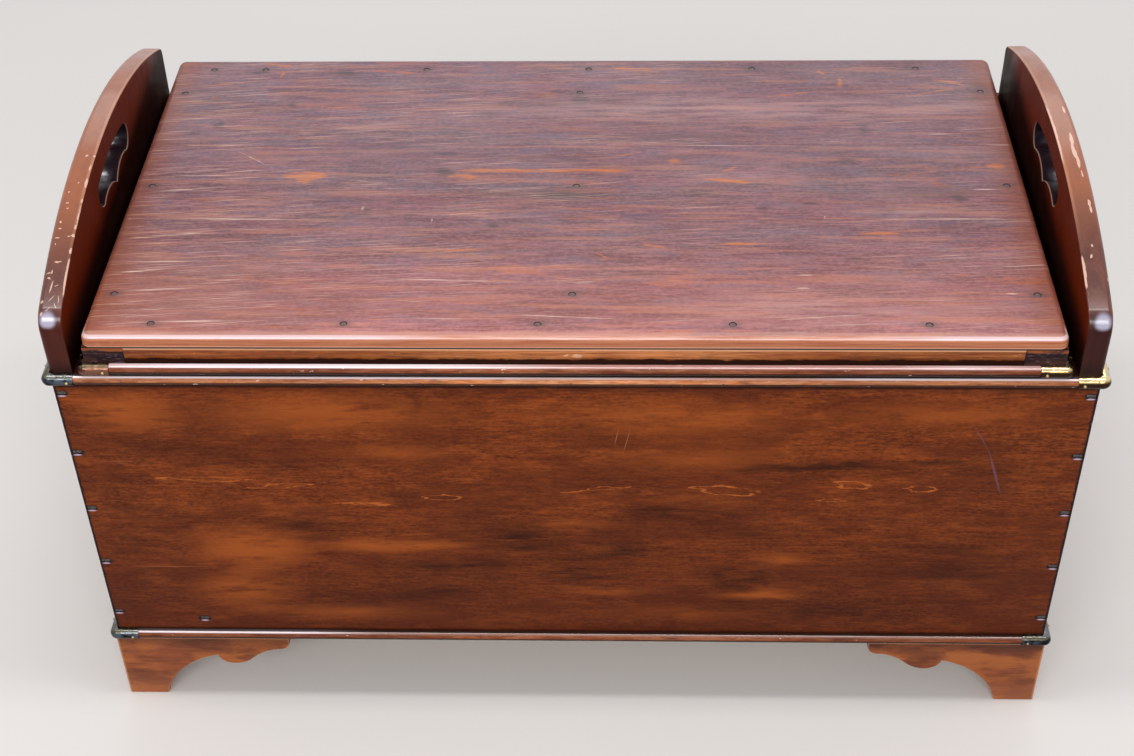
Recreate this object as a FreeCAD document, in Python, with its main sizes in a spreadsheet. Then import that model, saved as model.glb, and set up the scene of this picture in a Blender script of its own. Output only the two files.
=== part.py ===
"""Six-board blanket chest with arched ears, a hinged lid, brass-capped beads and bracket feet.

Millimetres. +Z is up and -Y is the front. The origin is on the floor, under the middle of the case.
"""
import FreeCAD, Part
import os
import re

import Sketcher

V = FreeCAD.Vector

doc = FreeCAD.newDocument("BlanketChest")
sizes = doc.addObject("Spreadsheet::Sheet", "Sizes")

# Driving dimensions, one cell each: alias and value.
DIMENSIONS = """
front_width 890
case_depth 450
rim_height 416
foot_height 82.2
front_thick 20
back_thick 16
end_thick 21
floor_thick 18
floor_seam 200
cleat_height 17.5
cleat_width 20

ear_rise 109
arch_radius 510
front_shoulder_radius 22
back_shoulder_radius 10
ear_outer_round 5
ear_inner_round 1.5
hold_spacing 90
hold_lobe_radius 13
hold_height 68.5
hold_crown 5.5
hold_point 6
hold_hill_radius 40

bead_height 9.5
bead_proud 6
base_bead_lift 1.3
lid_bead_lift 2.2
cap_thick 1
cap_leg 21
cap_clear 0.15
cap_pin_inset 5
cap_pin_radius 0.7
cap_pin_dome 1.5
cap_pin_length 12
brad_radius 0.8
brad_length 14
brad_margin 62
hole_clear 0.05

foot_length 168
foot_thick 18
foot_proud 2.2
toe_width 38
toe_radius 75
knee_out 95
knee_drop 25.2
nose_back_radius 16
nose_out 111
nose_drop 37.2
nose_front_radius 27
ogee_out 130
ogee_drop 29.2
cove_radius 43.5
cove_out 156
cove_drop 16.2
tail_radius 10.6
tail_drop 4.2
brace_length 110
brace_toe 30
block_width 20
block_lift 8

lid_gap 12
lid_seam_front 168.3
lid_seam_back 289.3
top_thick 13
frame_height 28.5
rail_width 30
batten_width 35
lid_edge_round 7
lid_corner_round 8

nail_head_width 9
nail_head_height 4
nail_head_thick 1.5
round_head_radius 3.2
nail_shank 2.4
nail_length 45
nail_end_inset 6.3
nail_top_margin 22
nail_base_margin 35.8
floor_nail_inset 87.7
short_nail_length 34
lid_nail_front_inset 17.2
lid_nail_back_inset 21.5
front_row_left_margin 58
front_row_right_margin 114
back_row_left_margin 92
back_row_right_margin 76
spare_nail_margin 39.5
batten_nail_inset 18
batten_nail_front 58
batten_nail_back 66

hinge_place 260
leaf_width 64
leaf_height 27
leaf_thick 2
barrel_radius 3.7
barrel_clear 0.3
knuckle_gap 0.4
hinge_pin_radius 1.8
hinge_pin_clear 0.05
hinge_bead_gap 2
screw_head_radius 3
screw_head_thick 1.4
screw_radius 1.6
screw_length 12
screw_slot 0.9
screw_spread 22
screw_drop 13
screw_stagger 6
"""

ALIASES = []
for row, entry in enumerate(DIMENSIONS.split("\n")):
    if entry:
        alias, size = entry.split()
        sizes.set(f"A{row}", alias)
        sizes.set(f"B{row}", size)
        sizes.setAlias(f"B{row}", alias)
        ALIASES.append(alias)
doc.recompute()

# Places that follow from the driving dimensions.
DERIVED = {
    "half_width": "front_width / 2",
    "half_depth": "case_depth / 2",
    "front_face": "-case_depth / 2",
    "front_inside": "front_thick - case_depth / 2",
    "back_face": "case_depth / 2",
    "back_inside": "case_depth / 2 - back_thick",
    "end_inside": "front_width / 2 - end_thick",
    "ear_middle": "-back_thick / 2",
    "arch_centre": "rim_height + ear_rise - arch_radius",
    "floor_under": "foot_height + cleat_height",
    "floor_top": "foot_height + cleat_height + floor_thick",
    "bead_middle": "bead_height / 2",
    "bead_line": "bead_proud - bead_height / 2",
    "cap_skin": "cap_clear + cap_thick",
    "base_bead_under": "foot_height + base_bead_lift",
    "rim_bead_under": "rim_height - bead_height",
    "lid_bead_under": "rim_height + lid_bead_lift",
    "lid_half": "front_width / 2 - end_thick - lid_gap",
    "frame_top": "rim_height + frame_height",
    "lid_top": "rim_height + frame_height + top_thick",
    "foot_half": "front_width / 2 + foot_proud",
    "foot_front": "-case_depth / 2 - foot_proud",
    "hinge_line": "case_depth / 2 + barrel_radius + barrel_clear",
    "web_height": "barrel_radius + barrel_clear + knuckle_gap",
    "knuckle": "leaf_width / 3",
}
WORD = re.compile(r"[A-Za-z_]+")


def formula(text):
    """Spell out the derived names of a formula and point its sizes at their cells."""
    def spell(match):
        word = match.group(0)
        if word in DERIVED:
            return f"({formula(DERIVED[word])})"
        return "Sizes." + word if word in ALIASES else word
    return WORD.sub(spell, text)


def value(text):
    """What a formula comes to now; it only starts the geometry, the formula then holds it."""
    return float(sizes.evalExpression(formula(text)))


def spaced(low, high, count):
    """Formulas of evenly spaced places from low to high."""
    return [f"({low}) + (({high}) - ({low})) * {step} / {count - 1}" for step in range(count)]


def about(axis, degrees):
    return FreeCAD.Rotation(axis, degrees)


def pointing(direction):
    """The turn that takes +Z to a direction."""
    return FreeCAD.Rotation(V(0, 0, 1), direction)


def place(thing, x="0", y="0", z="0", turn=FreeCAD.Rotation()):
    thing.Placement = FreeCAD.Placement(V(0, 0, 0), turn)
    for axis, text in zip("xyz", (x, y, z)):
        thing.setExpression(".Placement.Base." + axis, formula(text))
    return thing


# ---------------------------------------------------------------- plain solids

def block(name, length, depth, height, x, y, z):
    """A square-edged block from its low corner."""
    solid = doc.addObject("Part::Box", name)
    for size, text in (("Length", length), ("Width", depth), ("Height", height)):
        solid.setExpression(size, formula(text))
    return place(solid, x, y, z)


def rod(name, radius, length, x, y, z, direction):
    """A round rod that starts at a place and runs in a direction."""
    solid = doc.addObject("Part::Cylinder", name)
    solid.setExpression("Radius", formula(radius))
    solid.setExpression("Height", formula(length))
    return place(solid, x, y, z, pointing(direction))


def joined(name, pieces):
    """One solid made of touching or overlapping pieces."""
    solid = doc.addObject("Part::MultiFuse", name)
    solid.Shapes = pieces
    solid.Refine = True
    return solid


def group(name, pieces):
    """Separate solids that share a node."""
    bundle = doc.addObject("Part::Compound", name)
    bundle.Links = pieces
    return bundle


def drilled(name, blank, tools):
    """A piece with the room for its fasteners cut out."""
    cut = doc.addObject("Part::Cut", name)
    cut.Base = blank
    cut.Tool = group(name + "_holes", tools)
    return cut


NODES = []


def keep(label, solid):
    """Name a finished piece; its label is its file's name."""
    solid.Label = label
    NODES.append(solid)
    return solid


# ---------------------------------------------------------------- sketched solids

def arc_through(start, end, radius):
    """Arc from start to end: a positive radius bulges to the right of the way, a negative left."""
    chord = end - start
    right = V(chord.y, -chord.x, 0).normalize()
    rise = abs(radius) - max(radius ** 2 - (chord.Length / 2) ** 2, 0) ** 0.5
    bulge = rise if radius > 0 else -rise
    return Part.Arc(start, (start + end) * 0.5 + right * bulge, end)


def end_at(drawing, index, point):
    """Which end of a sketched edge, 1 or 2, lies at a point."""
    first, last = drawing.getPoint(index, 1), drawing.getPoint(index, 2)
    return 1 if first.distanceToPoint(point) <= last.distanceToPoint(point) else 2


def hold_size(drawing, kind, where, text):
    """A dimension of a sketch that follows a formula."""
    number = drawing.addConstraint(Sketcher.Constraint(kind, *where, value(text)))
    drawing.setExpression(f"Constraints[{number}]", formula(text))


def sketch(body, name, role, outline):
    """A closed outline on one of the body's own planes.

    Each point is (across, up, bend). The bend is the radius of the arc to the next point, with a
    sign in front as in arc_through, and an empty one makes a straight edge.
    """
    drawing = body.newObject("Sketcher::SketchObject", name)
    plane = [item for item in body.Origin.OriginFeatures if item.Role == role][0]
    drawing.AttachmentSupport = (plane, [""])
    drawing.MapMode = "FlatFace"
    points = [V(value(across), value(up), 0) for across, up, _bend in outline]
    for index, (_across, _up, bend) in enumerate(outline):
        start, end = points[index], points[(index + 1) % len(points)]
        edge = Part.LineSegment(start, end)
        if bend:
            radius = value(bend[1:])
            edge = arc_through(start, end, radius if bend[0] == "+" else -radius)
        drawing.addGeometry(edge, False)
    for index, (across, up, bend) in enumerate(outline):
        before = (index - 1) % len(outline)
        tip = end_at(drawing, index, points[index])
        hold_size(drawing, "DistanceX", (-1, 1, index, tip), across)
        hold_size(drawing, "DistanceY", (-1, 1, index, tip), up)
        drawing.addConstraint(Sketcher.Constraint(
            "Coincident", before, end_at(drawing, before, points[index]), index, tip))
        if bend:
            hold_size(drawing, "Radius", (index,), bend[1:])
    return drawing


def pad(body, name, drawing, length, backwards=False):
    feature = body.newObject("PartDesign::Pad", name)
    feature.Profile = drawing
    feature.setExpression("Length", formula(length))
    feature.Reversed = backwards
    return feature


def pocket(body, name, drawing):
    """A cut that goes right through, both ways."""
    doc.recompute()
    before = body.Tip.Shape.Volume
    feature = body.newObject("PartDesign::Pocket", name)
    feature.Profile = drawing
    feature.Type = "ThroughAll"
    feature.Midplane = True
    doc.recompute()
    if feature.Shape.Volume > before - 1:
        raise ValueError(name + " cuts nothing")
    return feature


def round_over(body, name, radius, wanted):
    """Round the edges of the body so far whose bounding boxes are wanted."""
    doc.recompute()
    base = body.Tip
    edges = [f"Edge{number}" for number, edge in enumerate(base.Shape.Edges, 1)
             if wanted(edge.BoundBox)]
    feature = body.newObject("PartDesign::Fillet", name)
    feature.Base = (base, edges)
    feature.setExpression("Radius", formula(radius))
    return feature


def near(first, second):
    return abs(first - second) < 0.01


# ---------------------------------------------------------------- fasteners

INTO = {"front": V(0, 1, 0), "back": V(0, -1, 0), "left": V(1, 0, 0), "right": V(-1, 0, 0)}


def nail_shank(name, length):
    return block(name + "_shank", "nail_shank", "nail_shank", length,
                 "-nail_shank / 2", "-nail_shank / 2", "-" + length)


def case_nail(name, x, z, side):
    """A nail with a T-shaped cut head, driven square into the front or the back."""
    head = block(name + "_head", "nail_head_width", "nail_head_height", "nail_head_thick",
                 "-nail_head_width / 2", "-nail_head_height / 2", "-nail_head_thick")
    turn = about(V(1, 0, 0), 90 if side == "front" else -90)
    return place(joined(name, [head, nail_shank(name, "nail_length")]), x, side + "_face", z, turn)


def board_nail(name, x, y, z):
    """A round-headed nail, driven down flush with the top of a board."""
    head = rod(name + "_head", "round_head_radius", "nail_head_thick", "0", "0", "0", V(0, 0, -1))
    return place(joined(name, [head, nail_shank(name, "short_nail_length")]), x, y, z)


def on_face(side, half, along, out):
    """The x and y of a place along a face and so far out from it."""
    if side in ("front", "back"):
        return along, f"front_face - ({out})" if side == "front" else f"back_face + ({out})"
    return (f"-{half} - ({out})" if side == "left" else f"{half} + {out}"), along


def brad(name, side, half, along, z):
    """A headless brad, driven square into a bead, and its hole."""
    x, y = on_face(side, half, along, "bead_proud")
    return [rod(name + tag, f"brad_radius + {extra}", "brad_length", x, y, z, INTO[side])
            for tag, extra in (("", "0"), ("_hole", "hole_clear"))]


def cap_pin(name, side, half, along, z):
    """A domed pin, driven through a brass cap, and its hole."""
    x, y = on_face(side, half, along, "bead_proud + cap_skin")
    dome = doc.addObject("Part::Sphere", name + "_dome")
    dome.setExpression("Radius", formula("cap_pin_dome"))
    dome.Angle1 = 0
    place(dome, x, y, z, pointing(INTO[side] * -1))
    shank, hole = [rod(name + tag, f"cap_pin_radius + {extra}", "cap_pin_length", x, y, z, INTO[side])
                   for tag, extra in (("_shank", "0"), ("_hole", "hole_clear"))]
    return joined(name, [dome, shank]), hole


def wood_screw(name, x, z):
    """A slotted countersunk screw, driven forwards through a hinge leaf, and its hole."""
    face, forwards = "back_face + leaf_thick", V(0, -1, 0)
    made = []
    for tag, extra in (("", "0"), ("_hole", "hole_clear")):
        head = doc.addObject("Part::Cone", name + tag + "_head")
        head.setExpression("Radius1", formula(f"screw_head_radius + {extra}"))
        head.setExpression("Radius2", formula(f"screw_radius + {extra}"))
        head.setExpression("Height", formula("screw_head_thick"))
        place(head, x, face, z, pointing(forwards))
        shank = rod(name + tag + "_shank", f"screw_radius + {extra}", "screw_length", x, face, z,
                    forwards)
        made.append(joined(name + tag, [head, shank]))
    slot = block(name + "_slot", "screw_head_radius * 2", "screw_slot", "screw_slot",
                 f"{x} - screw_head_radius", f"{face} - screw_slot / 2", f"{z} - screw_slot / 2")
    return drilled(name + "_slotted", made[0], [slot]), made[1]


# ---------------------------------------------------------------- beads and their brass caps

SIDE_TURN = {"front": 0, "right": 90, "back": 180, "left": 270}


def bead_run(name, side, half, low, high, under):
    """A half-round bead from low to high along a face.

    It is drawn along its own +X with its round side to -Y and then turned to its face.
    """
    body = doc.addObject("PartDesign::Body", name)
    outline = [("0", "0", ""), ("-bead_line", "0", "-bead_middle"),
               ("-bead_proud", "bead_middle", "-bead_middle"),
               ("-bead_line", "bead_height", ""), ("0", "bead_height", "")]
    section = sketch(body, name + "_section", "YZ_Plane", outline)
    pad(body, name + "_run", section, f"({high}) - ({low})")
    start = low if side in ("front", "right") else high
    x, y = on_face(side, half, start, "0")
    return place(body, x, y, under, about(V(0, 0, 1), SIDE_TURN[side]))


def cap_shell(name, x, y, z, degrees):
    """A brass shell bent round a bead's corner: a leg each way and a quarter turn between them."""
    body = doc.addObject("PartDesign::Body", name)
    outer, inner = "bead_middle + cap_skin", "bead_middle + cap_clear"
    outline = [("0", "-cap_skin", ""), ("-bead_line", "-cap_skin", "-" + outer),
               ("-bead_proud - cap_skin", "bead_middle", "-" + outer),
               ("-bead_line", "bead_height + cap_skin", ""), ("0", "bead_height + cap_skin", ""),
               ("0", "bead_height + cap_clear", ""),
               ("-bead_line", "bead_height + cap_clear", "+" + inner),
               ("-bead_proud - cap_clear", "bead_middle", "+" + inner),
               ("-bead_line", "-cap_clear", ""), ("0", "-cap_clear", "")]
    pad(body, name + "_front_leg", sketch(body, name + "_front", "YZ_Plane", outline), "cap_leg")
    pad(body, name + "_side_leg", sketch(body, name + "_side", "XZ_Plane", outline), "cap_leg",
        backwards=True)
    corner = sketch(body, name + "_corner", "XZ_Plane", outline)
    bend = body.newObject("PartDesign::Revolution", name + "_bend")
    bend.Profile = corner
    bend.ReferenceAxis = (corner, ["V_Axis"])
    bend.Angle = 90
    return place(body, x, y, z, about(V(0, 0, 1), degrees))


def bead_ring(ring, half, under, cap_ends, other_sides=()):
    """A bead round the front and both sides, with a cap at each front corner.

    cap_ends are the ends, front or back, whose corners carry a cap. Returns the holes that go on
    into the boards, the brads and the pins.
    """
    level = f"{under} + bead_middle"
    runs = {"front": (f"-{half}", half, 7), "left": ("front_face", "back_face", 4),
            "right": ("front_face", "back_face", 4)}
    holes = {side: [] for side in INTO}
    brads = []
    pins = []
    for side, (low, high, count) in runs.items():
        for step, along in enumerate(spaced(f"{low} + brad_margin", f"{high} - brad_margin", count)):
            nail, hole = brad(f"{ring}_{side}_brad_{step}", side, half, along, level)
            brads.append(nail)
            holes[side].append(hole)
    for end in cap_ends:
        for side, sign in (("left", "-"), ("right", "")):
            name = f"{ring}_cap_{end}_{side}"
            along_x = f"{sign}({half} - cap_leg + cap_pin_inset)"
            along_y = f"{'-' if end == 'front' else ''}(half_depth - cap_leg + cap_pin_inset)"
            end_pin, end_hole = cap_pin(name + "_end_pin", end, half, along_x, level)
            side_pin, side_hole = cap_pin(name + "_side_pin", side, half, along_y, level)
            degrees = {"frontleft": 0, "frontright": 90, "backright": 180, "backleft": 270}[end + side]
            shell = cap_shell(name + "_shell", f"{sign}{half}", end + "_face", under, degrees)
            keep(name, drilled(name + "_drilled", shell, [end_hole, side_hole]))
            pins += [end_pin, side_pin]
            holes[end].append(end_hole)
            holes[side].append(side_hole)
    for side, (low, high, _count) in runs.items():
        run = bead_run(f"{ring}_{side}_run", side, half, low, high, under)
        keep(f"{ring}_bead_{side}", drilled(f"{ring}_{side}_drilled", run, holes[side]))
    return holes, brads, pins


rim_holes, rim_brads, rim_pins = bead_ring("rim", "half_width", "rim_bead_under", ["front"])
base_holes, base_brads, base_pins = bead_ring("base", "half_width", "base_bead_under", ["front"])
keep("case_cap_pins", group("case_cap_pin_group", rim_pins + base_pins))
keep("case_brads", group("case_brad_group", rim_brads + base_brads))
case_bead_holes = [hole for holes in (rim_holes, base_holes) for side in holes for hole in holes[side]]


# ---------------------------------------------------------------- case nails

# Columns of nails through the front and back boards into the ends' edges, and one into the floor.
END_NAILS = 5
nail_levels = spaced("foot_height + nail_base_margin", "rim_height - nail_top_margin", END_NAILS)
front_nails = []
back_nails = []
for side, sign in (("left", "-"), ("right", "")):
    for step, level in enumerate(nail_levels):
        column = f"{sign}(half_width - nail_end_inset)"
        front_nails.append(case_nail(f"front_nail_{side}_{step}", column, level, "front"))
        back_nails.append(case_nail(f"back_nail_{side}_{step}", column, level, "back"))
front_nails.append(case_nail("front_floor_nail", "floor_nail_inset - half_width",
                             "floor_under + floor_thick / 2", "front"))
keep("front_nails", group("front_nail_group", front_nails))
keep("back_nails", group("back_nail_group", back_nails))

# Short nails that hold the floor boards' ends down on the cleats.
floor_nails = []
for side, sign in (("left", "-"), ("right", "")):
    for step, across in enumerate(spaced("front_inside + cleat_width / 2",
                                         "back_inside - cleat_width / 2", 4)):
        floor_nails.append(board_nail(f"floor_nail_{side}_{step}",
                                      f"{sign}(end_inside - cleat_width / 2)", across, "floor_top"))
keep("floor_nails", group("floor_nail_group", floor_nails))


# ---------------------------------------------------------------- hinges

def leaf_screws(name, centre, sign):
    """Three screws of a leaf: the middle one sits further from the barrel."""
    made = []
    for step, across in enumerate(("- screw_spread", "+ 0", "+ screw_spread")):
        depth = "screw_drop + screw_stagger" if step == 1 else "screw_drop"
        made.append(wood_screw(f"{name}_screw_{step}", f"({centre} {across})",
                               f"(rim_height {sign} ({depth}))"))
    return [screw for screw, _hole in made], [hole for _screw, hole in made]


def hinge_leaf(label, centre, plate_under, web_under, knuckles, holes, gap):
    """A leaf: its plate, and a web and a barrel knuckle in each of its thirds of the width."""
    left = f"{centre} - leaf_width / 2"
    pieces = [block(label + "_plate", "leaf_width", "leaf_thick", "leaf_height - web_height", left,
                    "back_face", plate_under)]
    for third in knuckles:
        start = f"{left} + knuckle * {third} + {gap}"
        length = f"knuckle - 2 * {gap}"
        pieces.append(block(f"{label}_web_{third}", length, "leaf_thick", "web_height", start,
                            "back_face", web_under))
        pieces.append(rod(f"{label}_knuckle_{third}", "barrel_radius", length, start, "hinge_line",
                          "rim_height", V(1, 0, 0)))
    keep(label, drilled(label + "_drilled", joined(label + "_blank", pieces), holes))


screws = {"case": [], "lid": []}
screw_holes = {"case": [], "lid": []}
for side, centre in (("left", "-hinge_place"), ("right", "hinge_place")):
    name = "hinge_" + side
    left = f"{centre} - leaf_width / 2"
    bore = rod(name + "_bore", "hinge_pin_radius + hinge_pin_clear", "leaf_width", left, "hinge_line",
               "rim_height", V(1, 0, 0))
    keep(name + "_pin", rod(name + "_rod", "hinge_pin_radius", "leaf_width", left, "hinge_line",
                            "rim_height", V(1, 0, 0)))
    made, holes = leaf_screws(name + "_case", centre, "-")
    hinge_leaf(name + "_case_leaf", centre, "rim_height - leaf_height", "rim_height - web_height",
               (0, 2), [bore] + holes, "0")
    screws["case"] += made
    screw_holes["case"] += holes
    made, holes = leaf_screws(name + "_lid", centre, "+")
    hinge_leaf(name + "_lid_leaf", centre, "rim_height + web_height", "rim_height", (1,),
               [bore] + holes, "knuckle_gap")
    screws["lid"] += made
    screw_holes["lid"] += holes
for part in ("case", "lid"):
    keep(f"hinge_{part}_screws", group(f"hinge_{part}_screw_group", screws[part]))


# ---------------------------------------------------------------- case boards

front_blank = block("front_blank", "front_width", "front_thick", "rim_height - foot_height",
                    "-half_width", "front_face", "foot_height")
keep("front_board", drilled("front_drilled", front_blank, front_nails + case_bead_holes))
back_blank = block("back_blank", "front_width", "back_thick", "rim_height - foot_height",
                   "-half_width", "back_inside", "foot_height")
keep("back_board", drilled("back_drilled", back_blank, back_nails + screw_holes["case"]))


def ear(name, outer_x, inner_x):
    """The arched top of an end board, above the rim, with its hand-hold."""
    body = doc.addObject("PartDesign::Body", name)
    front_rise = "arch_centre + sqrt(arch_radius ^ 2 - front_face ^ 2)"
    back_rise = "arch_centre + sqrt(arch_radius ^ 2 - back_inside ^ 2)"
    outline = [("front_face", "rim_height", ""), ("back_inside", "rim_height", ""),
               ("back_inside", back_rise, "+arch_radius"), ("front_face", front_rise, "")]
    pad(body, name + "_pad", sketch(body, name + "_outline", "YZ_Plane", outline), "end_thick")

    for end, at, radius in (("front", value("front_face"), "front_shoulder_radius"),
                            ("back", value("back_inside"), "back_shoulder_radius")):
        round_over(body, f"{name}_{end}_shoulder", radius,
                   lambda box: near(box.YMin, at) and near(box.YMax, at)
                   and box.ZMin > value("rim_height") + 1 and box.XLength > 1)
    for face, at, radius in (("outer", outer_x, "ear_outer_round"),
                             ("inner", inner_x, "ear_inner_round")):
        round_over(body, f"{name}_{face}_arris", radius,
                   lambda box: near(box.XMin, at) and near(box.XMax, at)
                   and box.ZMax > value("rim_height") + 1)

    middle = "rim_height + hold_height"
    lobe_under, lobe_over = f"{middle} - hold_lobe_radius", f"{middle} + hold_lobe_radius"
    front, back = "ear_middle - hold_spacing / 2", "ear_middle + hold_spacing / 2"
    crown = "((hold_spacing / 2) ^ 2 + hold_crown ^ 2) / (2 * hold_crown)"
    outline = [(front, lobe_under, "-hold_hill_radius"),
               ("ear_middle", f"{lobe_under} - hold_point", "-hold_hill_radius"),
               (back, lobe_under, "+hold_lobe_radius"),
               (f"{back} + hold_lobe_radius", middle, "+hold_lobe_radius"),
               (back, lobe_over, "+" + crown),
               (front, lobe_over, "+hold_lobe_radius"),
               (f"{front} - hold_lobe_radius", middle, "+hold_lobe_radius")]
    pocket(body, name + "_hand_hold", sketch(body, name + "_hold_outline", "YZ_Plane", outline))
    return body


for side, x in (("left", "-half_width"), ("right", "end_inside")):
    thick = value("end_thick")
    top = place(ear(side + "_ear", *((0, thick) if side == "left" else (thick, 0))), x)
    lower = block(side + "_end_lower", "end_thick", "back_inside - front_inside",
                  "rim_height - foot_height", x, "front_inside", "foot_height")
    blank = joined(side + "_end_blank", [lower, top])
    keep(side + "_end_board", drilled(side + "_end_drilled", blank,
                                      front_nails + back_nails + case_bead_holes))

# The floor: two boards that rest on four cleats.
gap = "2 * end_inside"
floor_parts = (("front", "front_inside", "front_face + floor_seam"),
               ("back", "front_face + floor_seam", "back_inside"))
for word, low, high in floor_parts:
    blank = block(f"floor_{word}_blank", gap, f"({high}) - ({low})", "floor_thick", "-end_inside", low,
                  "floor_under")
    keep(f"floor_board_{word}", drilled(f"floor_{word}_drilled", blank, floor_nails + front_nails))
long_cleats = [block(name, gap, "cleat_width", "cleat_height", "-end_inside", y, "foot_height")
               for name, y in (("cleat_front", "front_inside"),
                               ("cleat_back", "back_inside - cleat_width"))]
end_cleats = [block(name, "cleat_width", "back_inside - front_inside - 2 * cleat_width", "cleat_height",
                    x, "front_inside + cleat_width", "foot_height")
              for name, x in (("cleat_left", "-end_inside"),
                              ("cleat_right", "end_inside - cleat_width"))]
for label, cleats in (("floor_cleats_long", long_cleats), ("floor_cleats_end", end_cleats)):
    keep(label, group(label + "_group", [drilled(cleat.Name + "_drilled", cleat, floor_nails)
                                         for cleat in cleats]))


# ---------------------------------------------------------------- feet

def bracket(label, plane, sign, mitre, x, y, backwards=False):
    """A foot bracket with an ogee outline that runs out from its corner, along + or - across.

    mitre is a list of plan points of the wedge that its corner loses, empty for a square end.
    """
    bent = {"": "+-", "-": "-+"}[sign]
    outline = [("0", "0", ""), (sign + "toe_width", "0", bent[1] + "toe_radius"),
               (sign + "knee_out", "foot_height - knee_drop", bent[0] + "nose_back_radius"),
               (sign + "nose_out", "foot_height - nose_drop", bent[0] + "nose_front_radius"),
               (sign + "ogee_out", "foot_height - ogee_drop", bent[1] + "cove_radius"),
               (sign + "cove_out", "foot_height - cove_drop", bent[0] + "tail_radius"),
               (sign + "foot_length", "foot_height - tail_drop", ""),
               (sign + "foot_length", "foot_height", ""), ("0", "foot_height", "")]
    body = doc.addObject("PartDesign::Body", label + "_body")
    pad(body, label + "_pad", sketch(body, label + "_outline", plane, outline), "foot_thick",
        backwards)
    if mitre:
        wedge = sketch(body, label + "_wedge", "XY_Plane", [(*point, "") for point in mitre])
        pocket(body, label + "_mitre", wedge)
    keep(label, place(body, x, y))


far = "2 * foot_thick"
bracket("foot_front_left_face", "XZ_Plane", "", [("0", "0"), (far, far), ("0", far)],
        "-foot_half", "foot_front", backwards=True)
bracket("foot_front_left_side", "YZ_Plane", "", [("0", "0"), (far, "0"), (far, far)],
        "-foot_half", "foot_front")
bracket("foot_front_right_face", "XZ_Plane", "-", [("0", "0"), ("-" + far, far), ("0", far)],
        "foot_half", "foot_front", backwards=True)
bracket("foot_front_right_side", "YZ_Plane", "",
        [("foot_thick", "0"), ("-foot_thick", "0"), ("-foot_thick", far)],
        "foot_half - foot_thick", "foot_front")
bracket("foot_back_left_side", "YZ_Plane", "-", [], "-foot_half", "back_face")
bracket("foot_back_right_side", "YZ_Plane", "-", [], "foot_half - foot_thick", "back_face")

# Plain braces behind, cut on a slant, and a glue block in each corner.
for side, sign, x in (("left", "", "foot_thick - foot_half"), ("right", "-", "foot_half - foot_thick")):
    label = f"foot_back_{side}_brace"
    body = doc.addObject("PartDesign::Body", label + "_body")
    outline = [("0", "0", ""), (sign + "brace_toe", "0", ""),
               (sign + "brace_length", "foot_height - tail_drop", ""),
               (sign + "brace_length", "foot_height", ""), ("0", "foot_height", "")]
    pad(body, label + "_pad", sketch(body, label + "_outline", "XZ_Plane", outline), "foot_thick")
    keep(label, place(body, x, "back_face"))
glue_blocks = [block(f"glue_block_{end}_{side}", "block_width", "block_width",
                     "foot_height - block_lift", x, y, "block_lift")
               for side, x in (("left", "foot_thick - foot_half"),
                               ("right", "foot_half - foot_thick - block_width"))
               for end, y in (("front", "foot_front + foot_thick"),
                              ("back", "back_face - foot_thick - block_width"))]
keep("foot_blocks", group("glue_block_group", glue_blocks))


# ---------------------------------------------------------------- lid

lid_holes, lid_brads, lid_pins = bead_ring("lid", "lid_half", "lid_bead_under", ["front", "back"])
keep("lid_cap_pins", group("lid_cap_pin_group", lid_pins))

# The bead goes on across the back in three lengths, broken for the hinges, with two brads in each.
clear = "leaf_width / 2 + hinge_bead_gap"
stretches = (("-lid_half", f"-hinge_place - ({clear})"),
             (f"{clear} - hinge_place", f"hinge_place - ({clear})"),
             (f"hinge_place + {clear}", "lid_half"))
back_runs = []
for step, (low, high) in enumerate(stretches):
    for third in (1, 2):
        nail, hole = brad(f"lid_back_brad_{step}_{third}", "back", "lid_half",
                          f"{low} + (({high}) - ({low})) * {third} / 3", "lid_bead_under + bead_middle")
        lid_brads.append(nail)
        lid_holes["back"].append(hole)
    back_runs.append(bead_run(f"lid_back_run_{step}", "back", "lid_half", low, high,
                              "lid_bead_under"))
keep("lid_bead_back", group("lid_bead_back_group",
                            [drilled(run.Name + "_drilled", run, lid_holes["back"])
                             for run in back_runs]))
keep("lid_brads", group("lid_brad_group", lid_brads))

# Nails of the top: a row over each rail, one spare at the back, and three over each batten.
ROW_NAILS = 5
BATTEN_NAILS = 3
front_row, back_row = "front_face + lid_nail_front_inset", "back_face - lid_nail_back_inset"
spots = [(x, front_row) for x in spaced("front_row_left_margin - lid_half",
                                        "lid_half - front_row_right_margin", ROW_NAILS)]
spots += [(x, back_row) for x in spaced("back_row_left_margin - lid_half",
                                        "lid_half - back_row_right_margin", ROW_NAILS)]
spots.append(("spare_nail_margin - lid_half", back_row))
spots += [(x, y) for x in ("batten_nail_inset - lid_half", "0", "lid_half - batten_nail_inset")
          for y in spaced("front_face + batten_nail_front", "back_face - batten_nail_back",
                          BATTEN_NAILS)]
lid_nails = [board_nail(f"lid_nail_{number}", x, y, "lid_top")
             for number, (x, y) in enumerate(spots)]
keep("lid_nails", group("lid_nail_group", lid_nails))


def top_board(name, low, high):
    """A board of the top: its ends are rounded, and so are the lid's front and back edges."""
    body = doc.addObject("PartDesign::Body", name)
    outline = [("-lid_half", low, ""), ("lid_half", low, ""), ("lid_half", high, ""),
               ("-lid_half", high, "")]
    pad(body, name + "_pad", sketch(body, name + "_outline", "XY_Plane", outline), "top_thick")
    outside = (value("front_face"), value("back_face"))
    seams = [value(edge) for edge in (low, high) if value(edge) not in outside]
    if len(seams) == 1:
        round_over(body, name + "_corners", "lid_corner_round",
                   lambda box: box.ZLength > 1 and not near(box.YMin, seams[0]))
    round_over(body, name + "_edges", "lid_edge_round",
               lambda box: near(box.ZMin, value("top_thick"))
               and not any(near(box.YMin, seam) and near(box.YMax, seam) for seam in seams))
    return place(body, z="frame_top")


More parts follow.
